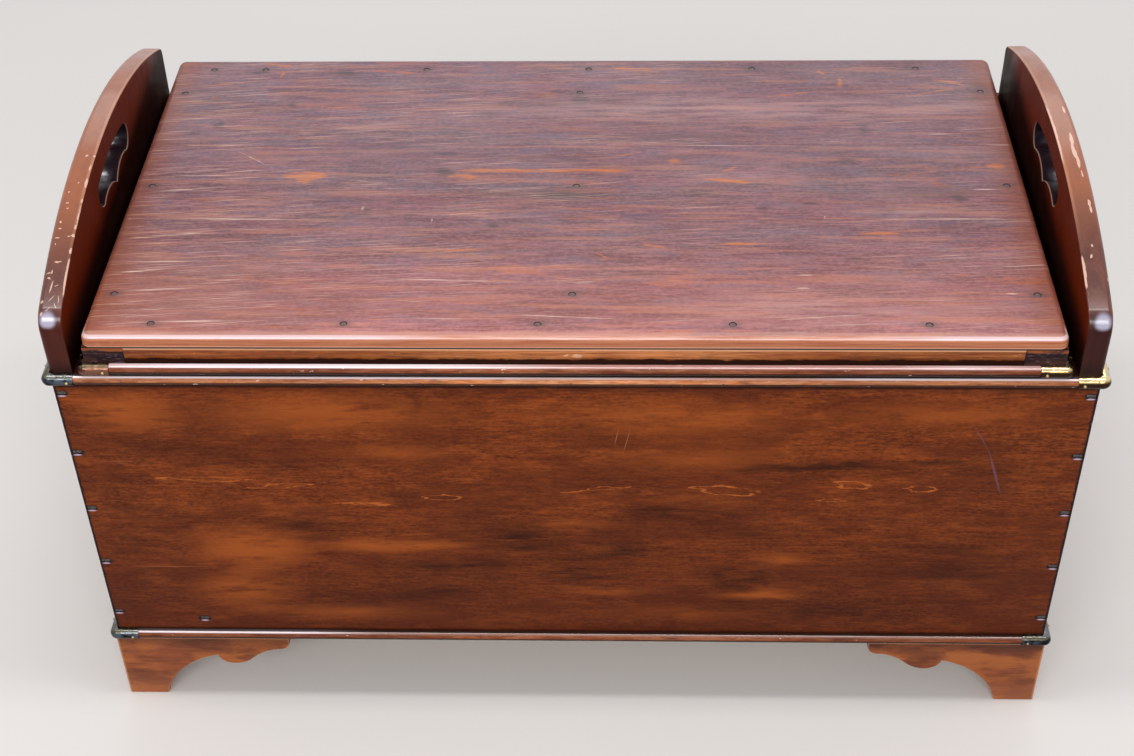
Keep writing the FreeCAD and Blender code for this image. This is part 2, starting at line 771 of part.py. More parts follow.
seam_front, seam_back = "front_face + lid_seam_front", "front_face + lid_seam_back"
for word, low, high in (("front", "front_face", seam_front), ("middle", seam_front, seam_back),
                        ("back", seam_back, "back_face")):
    board = top_board(f"lid_{word}_blank", low, high)
    keep(f"lid_board_{word}", drilled(f"lid_{word}_drilled", board, lid_nails))

# The frame under the top: battens across at both ends and the middle, rails between them.
lid_tools = lid_nails + screw_holes["lid"] + [hole for side in lid_holes for hole in lid_holes[side]]
frame = (
    ("lid_rail_front", "2 * (lid_half - batten_width)", "rail_width",
     "batten_width - lid_half", "front_face"),
    ("lid_rail_back", "2 * (lid_half - batten_width)", "rail_width",
     "batten_width - lid_half", "back_face - rail_width"),
    ("lid_batten_left", "batten_width", "case_depth", "-lid_half", "front_face"),
    ("lid_batten_centre", "batten_width", "case_depth - 2 * rail_width",
     "-batten_width / 2", "front_face + rail_width"),
    ("lid_batten_right", "batten_width", "case_depth", "lid_half - batten_width", "front_face"),
)
for label, length, depth, x, y in frame:
    blank = block(label + "_blank", length, depth, "frame_height", x, y, "rim_height")
    keep(label, drilled(label + "_drilled", blank, lid_tools))


# ---------------------------------------------------------------- checks and files

doc.recompute()
for thing in doc.Objects:
    if "Invalid" in thing.State or "Error" in thing.State:
        raise ValueError(f"{thing.Name} is {thing.State}")
labels = [node.Label for node in NODES]
if len(set(labels)) != len(labels):
    raise ValueError("node names repeat")
for node in NODES:
    if node.Shape.isNull() or not node.Shape.isValid() or not node.Shape.Solids:
        raise ValueError(node.Label + " has no valid shape")

os.makedirs("parts", exist_ok=True)
for node in NODES:
    node.Shape.exportStep(f"parts/{node.Label}.step")
print(len(NODES), "nodes,", sum(len(node.Shape.Solids) for node in NODES), "solids")
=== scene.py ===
import math

import bpy
from mathutils import Matrix, Vector


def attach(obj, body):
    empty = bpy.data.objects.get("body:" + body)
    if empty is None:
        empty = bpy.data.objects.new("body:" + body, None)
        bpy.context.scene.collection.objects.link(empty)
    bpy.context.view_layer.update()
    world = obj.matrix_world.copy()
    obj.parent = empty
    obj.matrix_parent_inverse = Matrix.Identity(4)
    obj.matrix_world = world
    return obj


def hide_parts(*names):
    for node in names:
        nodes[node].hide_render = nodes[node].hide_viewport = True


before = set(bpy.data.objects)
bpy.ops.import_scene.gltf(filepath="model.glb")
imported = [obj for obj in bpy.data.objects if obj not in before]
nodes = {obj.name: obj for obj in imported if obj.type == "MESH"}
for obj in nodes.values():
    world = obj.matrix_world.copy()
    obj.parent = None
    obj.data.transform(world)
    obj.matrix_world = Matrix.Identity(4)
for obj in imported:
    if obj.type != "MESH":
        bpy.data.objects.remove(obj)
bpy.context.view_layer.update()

# ------------ end boards
# Two softwood boards that stand on end and rise past the rim as arched ears. They were sawn to
# their outline, bored and cut through for the hand, rounded over by hand and brush-varnished.


def linear(code):
    """A colour from its sRGB hex code."""
    channels = [int(code[place:place + 2], 16) / 255 for place in (1, 3, 5)]
    return [c / 12.92 if c <= 0.04045 else ((c + 0.055) / 1.055) ** 2.4 for c in channels] + [1]


def feed(surface, node, sockets):
    """Link or set what a node's sockets take."""
    for socket, given in sockets.items():
        if isinstance(given, bpy.types.NodeSocket):
            surface.node_tree.links.new(given, node.inputs[socket])
        else:
            node.inputs[socket].default_value = given


def add(finish, kind, sockets=None, out=0, **settings):
    """Add a node to a finish with its settings and what its sockets take, and give an output."""
    node = finish.node_tree.nodes.new("ShaderNode" + kind)
    for setting, choice in settings.items():
        setattr(node, setting, choice)
    feed(finish, node, sockets or {})
    return node.outputs[out]


def shade(finish, sockets):
    """Link or set what a finish's own shader takes."""
    feed(finish, finish.node_tree.nodes["Principled BSDF"], sockets)


def begin(name):
    """Start a finish, and give it with the surface's own place in millimetres."""
    finish = bpy.data.materials.new(name)
    finish.use_nodes = True
    metres = add(finish, "TexCoord", out="Object")
    return finish, add(finish, "VectorMath", {0: metres, "Scale": 1000}, operation="SCALE")


def clouds(finish, place, size, low=0.4, high=0.6, least=0.0, most=1.0, detail=3.0, shift=0.0):
    """Cloudy patches of about a size (x, y, z) in mm: least below low, most above high."""
    squeezed = add(finish, "Mapping", {"Vector": place, "Location": [shift] * 3,
                                       "Scale": [1 / length for length in size]})
    cloud = add(finish, "TexNoise", {"Vector": squeezed, "Scale": 1.0, "Detail": detail,
                                     "Roughness": 0.6})
    return add(finish, "MapRange", {0: cloud, 1: low, 2: high, 3: least, 4: most},
               interpolation_type="SMOOTHSTEP")


def wandering(finish, place, size, reach, detail=3.0):
    """The place pushed about by a noise of a size, up to a reach, both (x, y, z) in mm."""
    squeezed = add(finish, "Mapping", {"Vector": place, "Scale": [1 / length for length in size]})
    noise = add(finish, "TexNoise", {"Vector": squeezed, "Scale": 1.0, "Detail": detail}, out=1)
    centred = add(finish, "VectorMath", {0: noise, 1: [0.5] * 3}, operation="SUBTRACT")
    return add(finish, "VectorMath", {0: centred, 1: [2 * r for r in reach], 2: place},
               operation="MULTIPLY_ADD")


def fade(finish, place, axis, low, high, least=0.0, most=1.0):
    """A soft change along an axis, from least at low to most at high, in mm."""
    level = add(finish, "SeparateXYZ", {0: place}, out=axis.upper())
    return add(finish, "MapRange", {0: level, 1: low, 2: high, 3: least, 4: most},
               interpolation_type="SMOOTHSTEP")


def facing(finish, axis, low, high, least=0.0, most=1.0):
    """How squarely the surface faces along its own axis, from least at low to most at high."""
    return fade(finish, add(finish, "TexCoord", out="Normal"), axis, low, high, least, most)


THROUGH = 9999  # an oval is this deep, in mm, so that it marks a face at any depth


def marks(finish, place, face, listed, low=0.0, high=1.0):
    """Soft-edged ovals on a face: (across, up, half length, half height, degrees, strength)."""
    total = 0.0
    for across, up, long, high_half, turn, strength in listed:
        centre, size, angles = {
            "top": ((across, up, 0), (long, high_half, THROUGH), (0, 0, turn)),
            "front": ((across, 0, up), (long, THROUGH, high_half), (0, -turn, 0))}[face]
        oval = add(finish, "Mapping", {"Vector": place, "Location": centre, "Scale": size,
                                       "Rotation": [math.radians(a) for a in angles]},
                   vector_type="TEXTURE")
        glow = add(finish, "TexGradient", {"Vector": oval}, out=1, gradient_type="SPHERICAL")
        total = add(finish, "Math", {0: glow, 1: strength, 2: total}, operation="MULTIPLY_ADD")
    return add(finish, "MapRange", {0: total, 1: low, 2: high}, interpolation_type="SMOOTHSTEP")


def both(finish, *masks):
    """Where all of the masks hold."""
    held = masks[0]
    for mask in masks[1:]:
        held = add(finish, "Math", {0: mask, 1: held}, operation="MULTIPLY")
    return held


def coats(finish, ground, *layers):
    """Colours laid one over the other: (colour, strength, and the masks it is laid through)."""
    colour = linear(ground) if isinstance(ground, str) else ground
    for paint, strength, *masks in layers:
        paint = linear(paint) if isinstance(paint, str) else paint
        laid = both(finish, strength, *masks)
        colour = add(finish, "Mix", {0: laid, 6: colour, 7: paint}, out=2, data_type="RGBA")
    return colour


ACROSS = {"x": (0, 1, 1), "y": (1, 0, 1), "z": (1, 1, 0)}
WAVE_STEP = 0.314  # a wave texture's rings are this far apart at a scale of 1


def along(axis, long, wide):
    """A pattern size that is long with the grain and narrow across it."""
    return [wide if side else long for side in ACROSS[axis]]


def pine(name, axis, stain, pith, tilt, shift=0.0, ring=9.0, grain=45, flame=0.5, crisp=0.5):
    """Stained softwood seen through its varnish.

    Growth rings, ring mm apart, lie round a pith that runs with the grain, a little tilted, so that
    they come out as long arches on a face. Their hard late wood took less stain and shows as thin
    lighter lines, as strong as flame. The fine grain is grain mm long, and as strong as crisp.
    """
    finish, place = begin(name)
    dark, mid, light, ember = stain
    ringed = add(finish, "Mapping", {"Vector": place, "Location": [-p for p in pith],
                                     "Rotation": [math.radians(t) for t in tilt]})
    bent = wandering(finish, ringed, along(axis, 110, 18), along(axis, 0, 5), detail=4.0)
    rings = add(finish, "TexWave", {"Vector": bent, "Scale": WAVE_STEP / ring, "Distortion": 0.9,
                                    "Detail": 4.0, "Detail Scale": 2.0},
                out=1, wave_type="RINGS", rings_direction=axis.upper(), wave_profile="SAW")
    ripening = add(finish, "MapRange", {0: rings, 1: 0.3, 2: 1.0})
    late_line = add(finish, "MapRange", {0: rings, 1: 0.84, 2: 0.93})
    patches = clouds(finish, place, along(axis, 140, 40), 0.48, 0.6, shift=shift + 7)
    drift = clouds(finish, place, along(axis, 170, 55), 0.42, 0.66, shift=shift + 9)
    lift = clouds(finish, place, along(axis, 120, 24), 0.5, 0.72, shift=shift + 3)
    streak = clouds(finish, place, along(axis, 110, 5), 0.44, 0.64, detail=4.0, shift=shift + 5)
    thread = clouds(finish, place, along(axis, grain, 1.9), 0.42, 0.62, detail=4.0, shift=shift)
    pore = clouds(finish, place, along(axis, grain / 2.5, 1.1), 0.48, 0.66, shift=shift + 13)
    colour = coats(finish, mid, (dark, 0.6, drift), (light, 0.5, lift), (dark, 0.25, ripening),
                   (dark, 0.5, streak), (light, crisp, thread), (dark, 0.9 * crisp, pore),
                   (ember, flame, late_line, patches))
    relief = add(finish, "Math", {0: ripening, 1: 0.4, 2: thread}, operation="MULTIPLY_ADD")
    return finish, place, colour, relief


def varnish(finish, colour, relief, gloss, depth=0.05, shine=0.5, coat=0.4, coat_roughness=0.18):
    """The shader of a varnished surface: its colour, its gloss, and its relief, depth mm deep."""
    bump = add(finish, "Bump", {"Strength": 1.0, "Distance": depth / 1000, "Height": relief})
    shade(finish, {"Base Color": colour, "Roughness": gloss, "Normal": bump, "IOR": 1.5,
                   "Specular IOR Level": shine, "Coat Weight": coat,
                   "Coat Roughness": coat_roughness})
    return finish


def dress(finish, *names):
    """Give pieces a finish."""
    for name in names:
        held = shaped.get(name, nodes[name]).data.materials
        held.clear()
        held.append(finish)


shaped = {}


def ease(name, width, chosen, body):
    """Stand a copy in for a board, with its chosen edges rounded to a width in mm, as by a plane.

    chosen takes an edge's two ends in mm; only sharp edges are asked.
    """
    bpy.ops.object.select_all(action="DESELECT")
    board = bpy.data.objects.new(name + "_eased", nodes[name].data.copy())
    bpy.context.scene.collection.objects.link(board)
    bpy.context.view_layer.objects.active = board
    board.select_set(True)
    bpy.ops.mesh.customdata_custom_splitnormals_clear()
    bpy.ops.object.mode_set(mode="EDIT")
    bpy.ops.mesh.select_mode(type="EDGE")
    bpy.ops.mesh.select_all(action="SELECT")
    bpy.ops.mesh.remove_doubles(threshold=1e-6)
    bpy.ops.mesh.dissolve_limited(angle_limit=math.radians(0.5))
    bpy.ops.mesh.select_all(action="DESELECT")
    bpy.ops.object.mode_set(mode="OBJECT")
    beside = {}
    for face in board.data.polygons:
        for key in face.edge_keys:
            beside.setdefault(key, []).append(face.normal)
    for edge in board.data.edges:
        faces = beside.get(edge.key, [])
        start, end = (board.data.vertices[corner].co * 1000 for corner in edge.vertices)
        if len(faces) == 2 and faces[0].dot(faces[1]) < 0.8 and chosen(start, end):
            edge.select = True
    bpy.ops.object.mode_set(mode="EDIT")
    bpy.ops.mesh.bevel(offset=width / 1000, segments=3, affect="EDGES", clamp_overlap=False)
    bpy.ops.object.mode_set(mode="OBJECT")
    bpy.ops.object.shade_smooth_by_angle(angle=math.radians(35))
    bpy.ops.object.modifier_add(type="WEIGHTED_NORMAL")
    board.modifiers[-1].keep_sharp = True
    bpy.ops.object.modifier_apply(modifier=board.modifiers[-1].name)
    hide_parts(name)
    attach(board, body)
    shaped[name] = board


def extent(name, axis):
    """The least and the most of a CAD piece along an axis (0, 1 or 2), in mm."""
    reach = [corner.co[axis] * 1000 for corner in nodes[name].data.vertices]
    return min(reach), max(reach)


HAIR = 0.1  # levels nearer than this, in mm, are the same


def on(spot, other, axis, level):
    """Whether both ends of an edge lie at a level of an axis."""
    return abs(spot[axis] - level) < HAIR and abs(other[axis] - level) < HAIR


END_INSIDE, END_OUTSIDE = extent("right_end_board", 0)
RIM = extent("front_board", 2)[1]
# The saw's edges were taken off the hand-hold between these y and z places, in mm.
HOLD_FRONT, HOLD_BACK, HOLD_LOW, HOLD_HIGH = -80, 60, 465, 500
for side, name in ((-1, "left_end_board"), (1, "right_end_board")):
    ease(name, 1.2, lambda a, b: HOLD_FRONT < a.y < HOLD_BACK and HOLD_LOW < a.z < HOLD_HIGH
         and (on(a, b, 0, side * END_OUTSIDE) or on(a, b, 0, side * END_INSIDE)),
         "chest")

# Brush varnish over a red-brown stain. Hands have polished the arch to a gloss and worn it pale and
# chipped along its inner edge, and the upright front faces are darker and dull. The inner faces
# carry painted shade, and beside the lid they turn black as a painted shadow, from the first height
# to the second, in mm.
END_STAIN = ("#3A1810", "#6E3220", "#8E4A30", "#A8633C")
LID_SHADOW_FROM, LID_SHADOW_TO = 486, 456
LEFT_CHIPS = [
    (-431.6, -52, 1.9, 1.8, 0, 1.5), (-425, -52, 1.3, 2.2, 0, 1.4), (-425.4, -68, 1.1, 7, 0, 1.1),
    (-425.2, -87, 1.6, 8, 0, 1.7), (-424.9, -108, 1.2, 4, 0, 1.4),
    (-424.5, -125, 1.0, 16, 0, 1.3), (-425, -137, 1.3, 2.6, 0, 1.4),
    (-425.2, -146, 2.0, 2.2, 0, 1.6), (-425, -161, 1.7, 4, 0, 1.6),
    (-424.6, -186, 1.5, 24, 0, 1.7), (-432, -86, 1.3, 1.2, 40, 1.2),
    (-438, -98, 1.0, 1.5, 0, 1.2), (-437, -111, 2.0, 1.0, 0, 1.5),
    (-435.5, -116, 1.6, 0.9, 0, 1.5), (-438.8, -131.5, 1.4, 1.4, 0, 1.6),
    (-437.9, -139, 1.9, 1.0, 0, 1.5), (-438.8, -148, 3.2, 0.8, 8, 1.5),
    (-428, -146.4, 4, 0.6, 10, 1.1), (-439, -155, 0.9, 1.0, 0, 1.2),
    (-433.8, -172.3, 4.4, 0.9, 5, 1.6), (-440, -183, 3.2, 0.8, 20, 1.4),
    (-437.3, -182, 0.7, 3.2, 0, 1.3), (-439, -187.4, 2.4, 0.9, -20, 1.4),
    (-435.7, -195, 0.8, 8, -8, 1.5), (-431.5, -194, 3.4, 0.7, 25, 1.0),
    (-441.5, -208, 1.9, 2.2, 0, 1.4), (-441, -218, 1.6, 1.8, 0, 1.4),
    (-434, -205, 6, 0.6, 55, 1.0), (-430, -212, 5, 0.6, -60, 0.9), (-436, -214, 4, 0.6, 30, 0.8),
    (-428, -206, 0.6, 6, 10, 1.0),
]
RIGHT_CHIPS = [
    (424.4, -18, 2.2, 66, 0, 1.4), (424.8, -180, 2.0, 20, 0, 1.8), (437.0, -30, 2.0, 15, -3, 1.6),
    (436.4, -48, 2.4, 12, 3, 1.8), (437.6, -62, 1.8, 10, -2, 1.6), (438.4, -76, 1.0, 6, 0, 1.4),
    (439, 18, 1.3, 9, 0, 1.3), (438.6, -111, 1.7, 5, 0, 1.8), (439, -118, 1.3, 5, 0, 1.7),
    (434.5, -155, 1.2, 2, 0, 1.4), (432.5, -166, 1.3, 3, -20, 1.5),
    (443.5, -186, 0.8, 2.5, 0, 1.3),
]


def ear_varnish(name, side, chips, worn_from, worn_to, upright, shift):
    """The finish of one end board; its arch is worn between two y places."""
    finish, place, wood, relief = pine(name, "z", END_STAIN, (side * 500, 40, 300), (2, 0, 0),
                                       shift, flame=0.2, crisp=0.45)
    # Heights tilted 5 degrees, for the painted shadow beside the lid.
    sloped = add(finish, "Mapping", {"Vector": place, "Rotation": (math.radians(-5), 0, 0)})
    inward = facing(finish, "x", side * -0.5, side * -0.9)
    outward = facing(finish, "x", side * 0.5, side * 0.9)
    forward = facing(finish, "y", -0.4, -0.8)
    lightened = fade(finish, place, "y", worn_from, worn_to)
    rough_place = wandering(finish, place, (4, 7, 4), (0.9, 2.5, 0.9), detail=5.0)
    chipped = marks(finish, rough_place, "top", chips, 0.35, 0.6)
    hollow = both(finish, fade(finish, place, "z", HOLD_HIGH + 6, HOLD_HIGH + 3),
                  fade(finish, place, "y", HOLD_FRONT - 20, HOLD_FRONT - 12),
                  fade(finish, place, "y", HOLD_BACK + 15, HOLD_BACK + 8))
    arch = both(finish, facing(finish, "z", 0.25, 0.6),
                add(finish, "Math", {0: 1.0, 1: hollow}, operation="SUBTRACT"))
    # The walls inside the hand-hold, which carry painted shade.
    wall = both(finish, hollow, fade(finish, place, "x", side * (END_INSIDE + 0.5),
                                     side * (END_INSIDE + 1.4)),
                fade(finish, place, "x", side * (END_OUTSIDE - 0.3), side * (END_OUTSIDE - 1.2)))
    lip = both(finish, hollow, fade(finish, place, "x", side * (END_INSIDE + 0.05),
                                    side * (END_INSIDE + 0.3)),
               fade(finish, place, "x", side * (END_INSIDE + 1.2), side * (END_INSIDE + 0.8)))
    brushed = clouds(finish, place, (9, 24, 9), 0.4, 0.65, shift=shift + 2)
    rubbed_line = fade(finish, place, "x", side * (END_INSIDE + 3.2), side * (END_INSIDE + 1.2))
    # The front shoulder, where a highlight is painted and the coat is glossiest.
    shoulder = both(finish, facing(finish, "z", 0.1, 0.4), facing(finish, "y", -0.3, -0.6),
                    marks(finish, place, "front", [(side * 436, 470.5, 9, 8, 0, 1.8)]))
    brightened = clouds(finish, place, (50, 30, 110), 0.3, 0.7, detail=5.0)
    streaked = clouds(finish, place, (50, 7, 90), 0.5, 0.7, detail=4.0)
    colour = coats(finish, wood, ("#9A5228", 0.7, outward, brightened),
                   ("#43190C", 0.5, outward, streaked),
                   # Painted shade: the inner faces darkened, and black beside the lid as a painted
                   # shadow.
                   ("#601E08", 0.9, inward),
                   ("#1A0604", 0.97, inward, fade(finish, sloped, "z", LID_SHADOW_FROM, LID_SHADOW_TO)),
                   (wood, 0.95, inward, fade(finish, place, "z", RIM + 6, RIM - 12)),
                   ("#54261C", 0.8, arch), ("#A45E38", 0.85, arch, lightened),
                   ("#7C4632", 0.4, arch, brushed), ("#C48C6C", 0.5, arch, rubbed_line, lightened),
                   # Dark upright front faces, then a painted highlight: a pale bluish gleam on each
                   # front shoulder.
                   (upright, 0.9, forward), ("#C8C4DC", 0.6, shoulder),
                   # Painted shade on the walls inside the hand-hold, and a pale line along its lip.
                   ("#15101A", 0.92, wall), ("#A08474", 0.6, lip),
                   ("#E6BCA6", 0.85, arch, chipped),
                   # Painted shade in a band about the rim's height, where the lid and the beads
                   # meet the board.
                   ("#160A08", 0.7, fade(finish, place, "z", RIM + 20, RIM + 1),
                    fade(finish, place, "z", RIM - 18, RIM)))
    gloss = clouds(finish, place, (30, 30, 60), 0.35, 0.7, 0.28, 0.45, shift=shift)
    glazed = add(finish, "Math", {0: both(finish, arch, 0.4), 1: shoulder}, operation="MAXIMUM")
    shade(finish, {"Coat IOR": 1.8})
    shine = facing(finish, "x", side * -0.5, side * -0.9, 0.12, 0.03)
    return varnish(finish, colour, relief, gloss, depth=0.03, shine=shine, coat=glazed,
                   coat_roughness=0.16)


dress(ear_varnish("left_end_brushed_varnish", -1, LEFT_CHIPS, -200, -90, "#421712", 20),
      "left_end_board")
dress(ear_varnish("right_end_brushed_varnish", 1, RIGHT_CHIPS, -170, -70, "#2C1010", 60),
      "right_end_board")

# ------------ front and back boards
# One wide flat-sawn board nailed over the ends' edges in front, and a plainer one behind. The
# varnish is rubbed thin at the left and has gone dark in drifts where hands and cloths passed.

FRONT_STAIN = ("#421607", "#7C3511", "#9A4C1C", "#BE6A2E")
FRONT_DARK = [
    (-341, 336, 69, 24, 0, 0.7), (-278, 312, 103, 14, 0, 0.6), (-136, 385, 9, 35, 0, 0.5),
    (224, 312, 150, 8, 3, 1), (93, 253, 86, 16, -6, 0.9), (-49, 218, 55, 35, 0, 0.9),
    (-107, 184, 69, 16, 0, 0.9), (-253, 233, 60, 24, 0, 0.7), (5, 179, 63, 24, 0, 1),
    (44, 203, 39, 24, 0, 0.7), (331, 203, 92, 38, 0, 0.6), (346, 174, 86, 18, 0, 0.5),
    (151, 174, 63, 20, 0, 0.8), (151, 150, 30, 40, 0, 0.7), (-117, 150, 92, 15, 0, 0.7),
    (200, 346, 75, 27, 0, 0.2), (249, 125, 115, 22, 0, 0.7), (-185, 130, 92, 24, 0, 0.5),
    (-409, 233, 41, 101, 0, 0.5), (5, 351, 92, 49, 0, 0.35), (322, 307, 126, 20, 0, 0.6),
    (165, 226, 80, 27, 0, 0.5), (-165, 176, 63, 27, 0, 0.4),
]
FRONT_LIGHT = [
    (-297, 206, 80, 40, 0, 1.1), (-312, 150, 70, 38, 0, 0.9), (-185, 209, 60, 14, 0, 1.0),
    (-127, 211, 46, 11, 0, 0.8), (-214, 372, 170, 34, 0, 0.9), (-390, 372, 62, 34, 0, 1.1),
    (78, 368, 170, 34, 0, 0.8), (320, 372, 130, 26, 0, 0.7), (171, 147, 65, 12, 0, 1.0),
    (185, 194, 40, 16, 0, 0.7), (-10, 238, 80, 11, 0, 0.6), (29, 150, 80, 9, 0, 0.6),
    (-160, 325, 80, 24, 0, 0.6), (110, 320, 150, 26, 0, 0.6), (110, 272, 120, 20, 0, 0.4),
    (-215, 120, 120, 18, 0, 0.7), (110, 120, 120, 18, 0, 0.5),
]
FRONT_FLAMES = [
    (-330, 293, 66, 4, -1, 1.0), (-262, 285, 44, 4, 6, 1.0), (-118, 272, 34, 4.5, 2, 0.9),
    (22, 283, 60, 2.6, 8, 0.7), (136, 282, 44, 9, -6, 1.1), (247, 289, 30, 7, -8, 0.9),
    (233, 270, 30, 3, -3, 0.9), (307, 285, 20, 6, 0, 0.9), (-190, 263, 60, 3, -3, 0.6),
]
FRONT_SCRATCHES = [
    (-379, 180, 66, 0.9, 0, 1.1), (-404, 314, 26, 1.0, -1, 0.9), (38, 345, 15, 0.8, 80, 1.3),
    (47, 341, 23, 0.7, 78, 1.3), (-356, 110, 9, 1.2, 0, 1.3), (-300, 178, 40, 0.7, 1, 0.7),
]
FRONT_BRUISES = [(353, 346, 24, 1.2, -62, 0.9), (370, 304, 36, 1.6, -72, 1.5)]
HEAD_SPAN = 12  # no nail head is wider than this, in mm


def head_places(name, axis, level):
    """The middles of a node's nail heads, in mm: groups of corners that lie on one face."""
    found = []
    for vertex in nodes[name].data.vertices:
        spot = vertex.co * 1000
        if abs(spot[axis] - level) < HAIR:
            for group in found:
                if (group[0] - spot).length < HEAD_SPAN:
                    group.append(spot)
                    break
            else:
                found.append([spot])
    return [sum(group, Vector()) / len(group) for group in found]


FRONT_FACE = extent("front_board", 1)[0]
RIM_BEAD_LOW, BASE_BEAD_TOP = extent("rim_bead_front", 2)[0], extent("base_bead_front", 2)[1]
front_heads = head_places("front_nails", 1, FRONT_FACE)
ease("front_board", 1.5, lambda a, b: on(a, b, 1, FRONT_FACE) and abs(a.x) > END_OUTSIDE - HAIR
     and abs(b.x) > END_OUTSIDE - HAIR, "chest")

# Satin varnish gone dark in drifts and rubbed back to orange at the left: soft mottling with a few
# thin flames of late wood, and near-black crushed wood round the nails and down the two ends.
# Painted shade lies under the rim bead and above the base bead, and a painted glint below each nail
# head.
finish, place, wood, relief = pine("front_board_worn_varnish", "x", FRONT_STAIN, (0, -190, 285),
                                   (0, 0, 1.2), shift=3, grain=14, flame=0.12)
drifting = wandering(finish, place, (70, 20, 12), (20, 0, 7), detail=5.0)
wobbling = wandering(finish, place, (14, 14, 7), (2.5, 0, 1.2))
smoky = clouds(finish, place, (60, 20, 9), 0.3, 0.6, detail=5.0)
cleared = clouds(finish, place, (50, 20, 10), 0.26, 0.5, detail=5.0, shift=4)
clouded = clouds(finish, place, (110, 30, 34), 0.44, 0.58, detail=5.0, shift=28)
mottle = clouds(finish, place, (24, 20, 9), 0.42, 0.64, detail=6.0, shift=8)
speckle = clouds(finish, place, (5, 5, 2.4), 0.42, 0.62, detail=4.0, shift=18)
flames = wandering(finish, place, (26, 9, 4), (22, 0, 3.6), detail=5.0)
flame_line = add(finish, "Math", {0: marks(finish, flames, "front", FRONT_FLAMES), 1: 0.4, 2: 0.1},
                 operation="COMPARE")
distance = add(finish, "VectorMath", {0: place}, operation="ABSOLUTE")
crushed = marks(finish, wobbling, "front", [(h.x, h.z, 8.5, 4.6, 0, 2.0) for h in front_heads])
# Below each nail head, where a glint is painted.
crescent = marks(finish, place, "front", [(h.x, h.z - 3.1, 5.0, 1.3, 0, 1.6) for h in front_heads])
rough_end = wandering(finish, distance, (9, 9, 6), (1.6, 0, 0))
end_strip = fade(finish, rough_end, "x", END_OUTSIDE - 3.4, END_OUTSIDE - 1.8)
end_arris = fade(finish, rough_end, "x", END_OUTSIDE - 1.2, END_OUTSIDE - 0.4)
colour = coats(finish, wood,
               ("#4A1A08", 0.5, mottle), ("#9A5228", 0.3, speckle), ("#4C1C0C", 0.5, clouded),
               ("#46190A", 0.5, fade(finish, drifting, "z", 340, 110)),
               ("#A2521F", 0.8, marks(finish, drifting, "front", FRONT_LIGHT), cleared),
               ("#220B05", 0.85, marks(finish, drifting, "front", FRONT_DARK), smoky),
               # Painted shade under the rim bead: a soft band, then a darker line close beneath it.
               ("#3A1408", 0.45,
                fade(finish, drifting, "z", RIM_BEAD_LOW - 13.5, RIM_BEAD_LOW - 4.5)),
               ("#1C0904", 0.8,
                fade(finish, wobbling, "z", RIM_BEAD_LOW - 6.3, RIM_BEAD_LOW - 4.1)),
               # Painted shade in the corner above the base bead.
               ("#2A0F08", 0.8, fade(finish, wobbling, "z", BASE_BEAD_TOP + 5, BASE_BEAD_TOP + 1)),
               ("#C0692E", 0.6, flame_line, clouds(finish, place, (12, 9, 5), 0.35, 0.5, shift=6)),
               ("#A8694A", 0.7, marks(finish, place, "front", FRONT_SCRATCHES, 0.2, 1.2)),
               ("#6E4A58", 0.7, marks(finish, place, "front", FRONT_BRUISES, 0.1, 0.9)),
               ("#1E1016", 0.9, crushed),
               ("#43200F", 0.8, end_strip),
               ("#1E1218", 0.9, end_strip,
                fade(finish, place, "y", FRONT_FACE + 11, FRONT_FACE + 4)),
               ("#A88890", 0.6, end_arris, fade(finish, place, "y", FRONT_FACE + 6, FRONT_FACE + 2),
                clouds(finish, place, (8, 8, 5), 0.6, 0.66, shift=2)),
               # Painted glint: a pale crescent below each nail head.
               ("#C4B4C8", 0.8, crescent), (wood, 1.0, facing(finish, "y", 0.5, 0.9)))
gloss = clouds(finish, place, (120, 30, 30), 0.35, 0.7, 0.3, 0.5)
dress(varnish(finish, colour, relief, gloss, shine=0.08, coat=0.0), "front_board")

# The same stain with less varnish over it: plain straight grain, matt and even.
finish, place, colour, relief = pine("back_board_thin_varnish", "x", FRONT_STAIN, (30, 190, 240),
                                     (0, 0, -1.0), shift=33, flame=0.3)
gloss = clouds(finish, place, (120, 30, 30), 0.35, 0.7, 0.42, 0.6)
dress(varnish(finish, colour, relief, gloss, shine=0.15, coat=0.0), "back_board")

# ------------ floor and cleats
# Two bare boards lying on cleats, and the glue blocks behind the feet. Never varnished, they have
# only gone brown and dusty with age.

BARE_STAIN = ("#8A6442", "#B08C62", "#C4A47A", "#A8773F")
# Bare softwood: pale ochre grain with grey dust lying in patches and no gloss at all.
finish, place, colour, relief = pine("bare_aged_softwood", "x", BARE_STAIN, (0, 10, 60),
                                     (0, 1.5, 0), shift=70)
dust = clouds(finish, place, (60, 60, 60), 0.45, 0.7)
gloss = clouds(finish, place, (60, 60, 60), 0.45, 0.7, 0.55, 0.8)
colour = coats(finish, colour, ("#7A6650", 0.4, dust))
dress(varnish(finish, colour, relief, gloss, coat=0.0), "floor_board_back", "floor_board_front",
      "floor_cleats_end", "floor_cleats_long", "foot_blocks")

# ------------ beads
# Half-round mouldings bradded round the rim, the base and the lid's lower edge, with small pale
# knocks. A painted highlight runs along their crowns as a pale line that comes and goes, and
# painted shade lies on their undersides and flat top edges.

BEAD_STAIN = ("#55220F", "#94502E", "#AC7050", "#C08050")
# The rim bead's stain is a lighter copy of the bead stain, as painted light.
RIM_STAIN_LIT = ("#84401E", "#DC8854", "#F0B084", "#F0A868")
# Places where the painted highlight along the beads' crowns is brightest.
LID_GLEAMS = [(-220, -227, 260, 60, 0, 1.4), (330, -227, 120, 60, 0, 0.5)]
RIM_GLEAMS = [
    (-280, -227, 260, 60, 0, 2.2), (330, -227, 150, 60, 0, 2.0), (20, -227, 200, 60, 0, 0.6),
]
BASE_GLEAMS = [(-340, -227, 170, 60, 0, 1.4)]


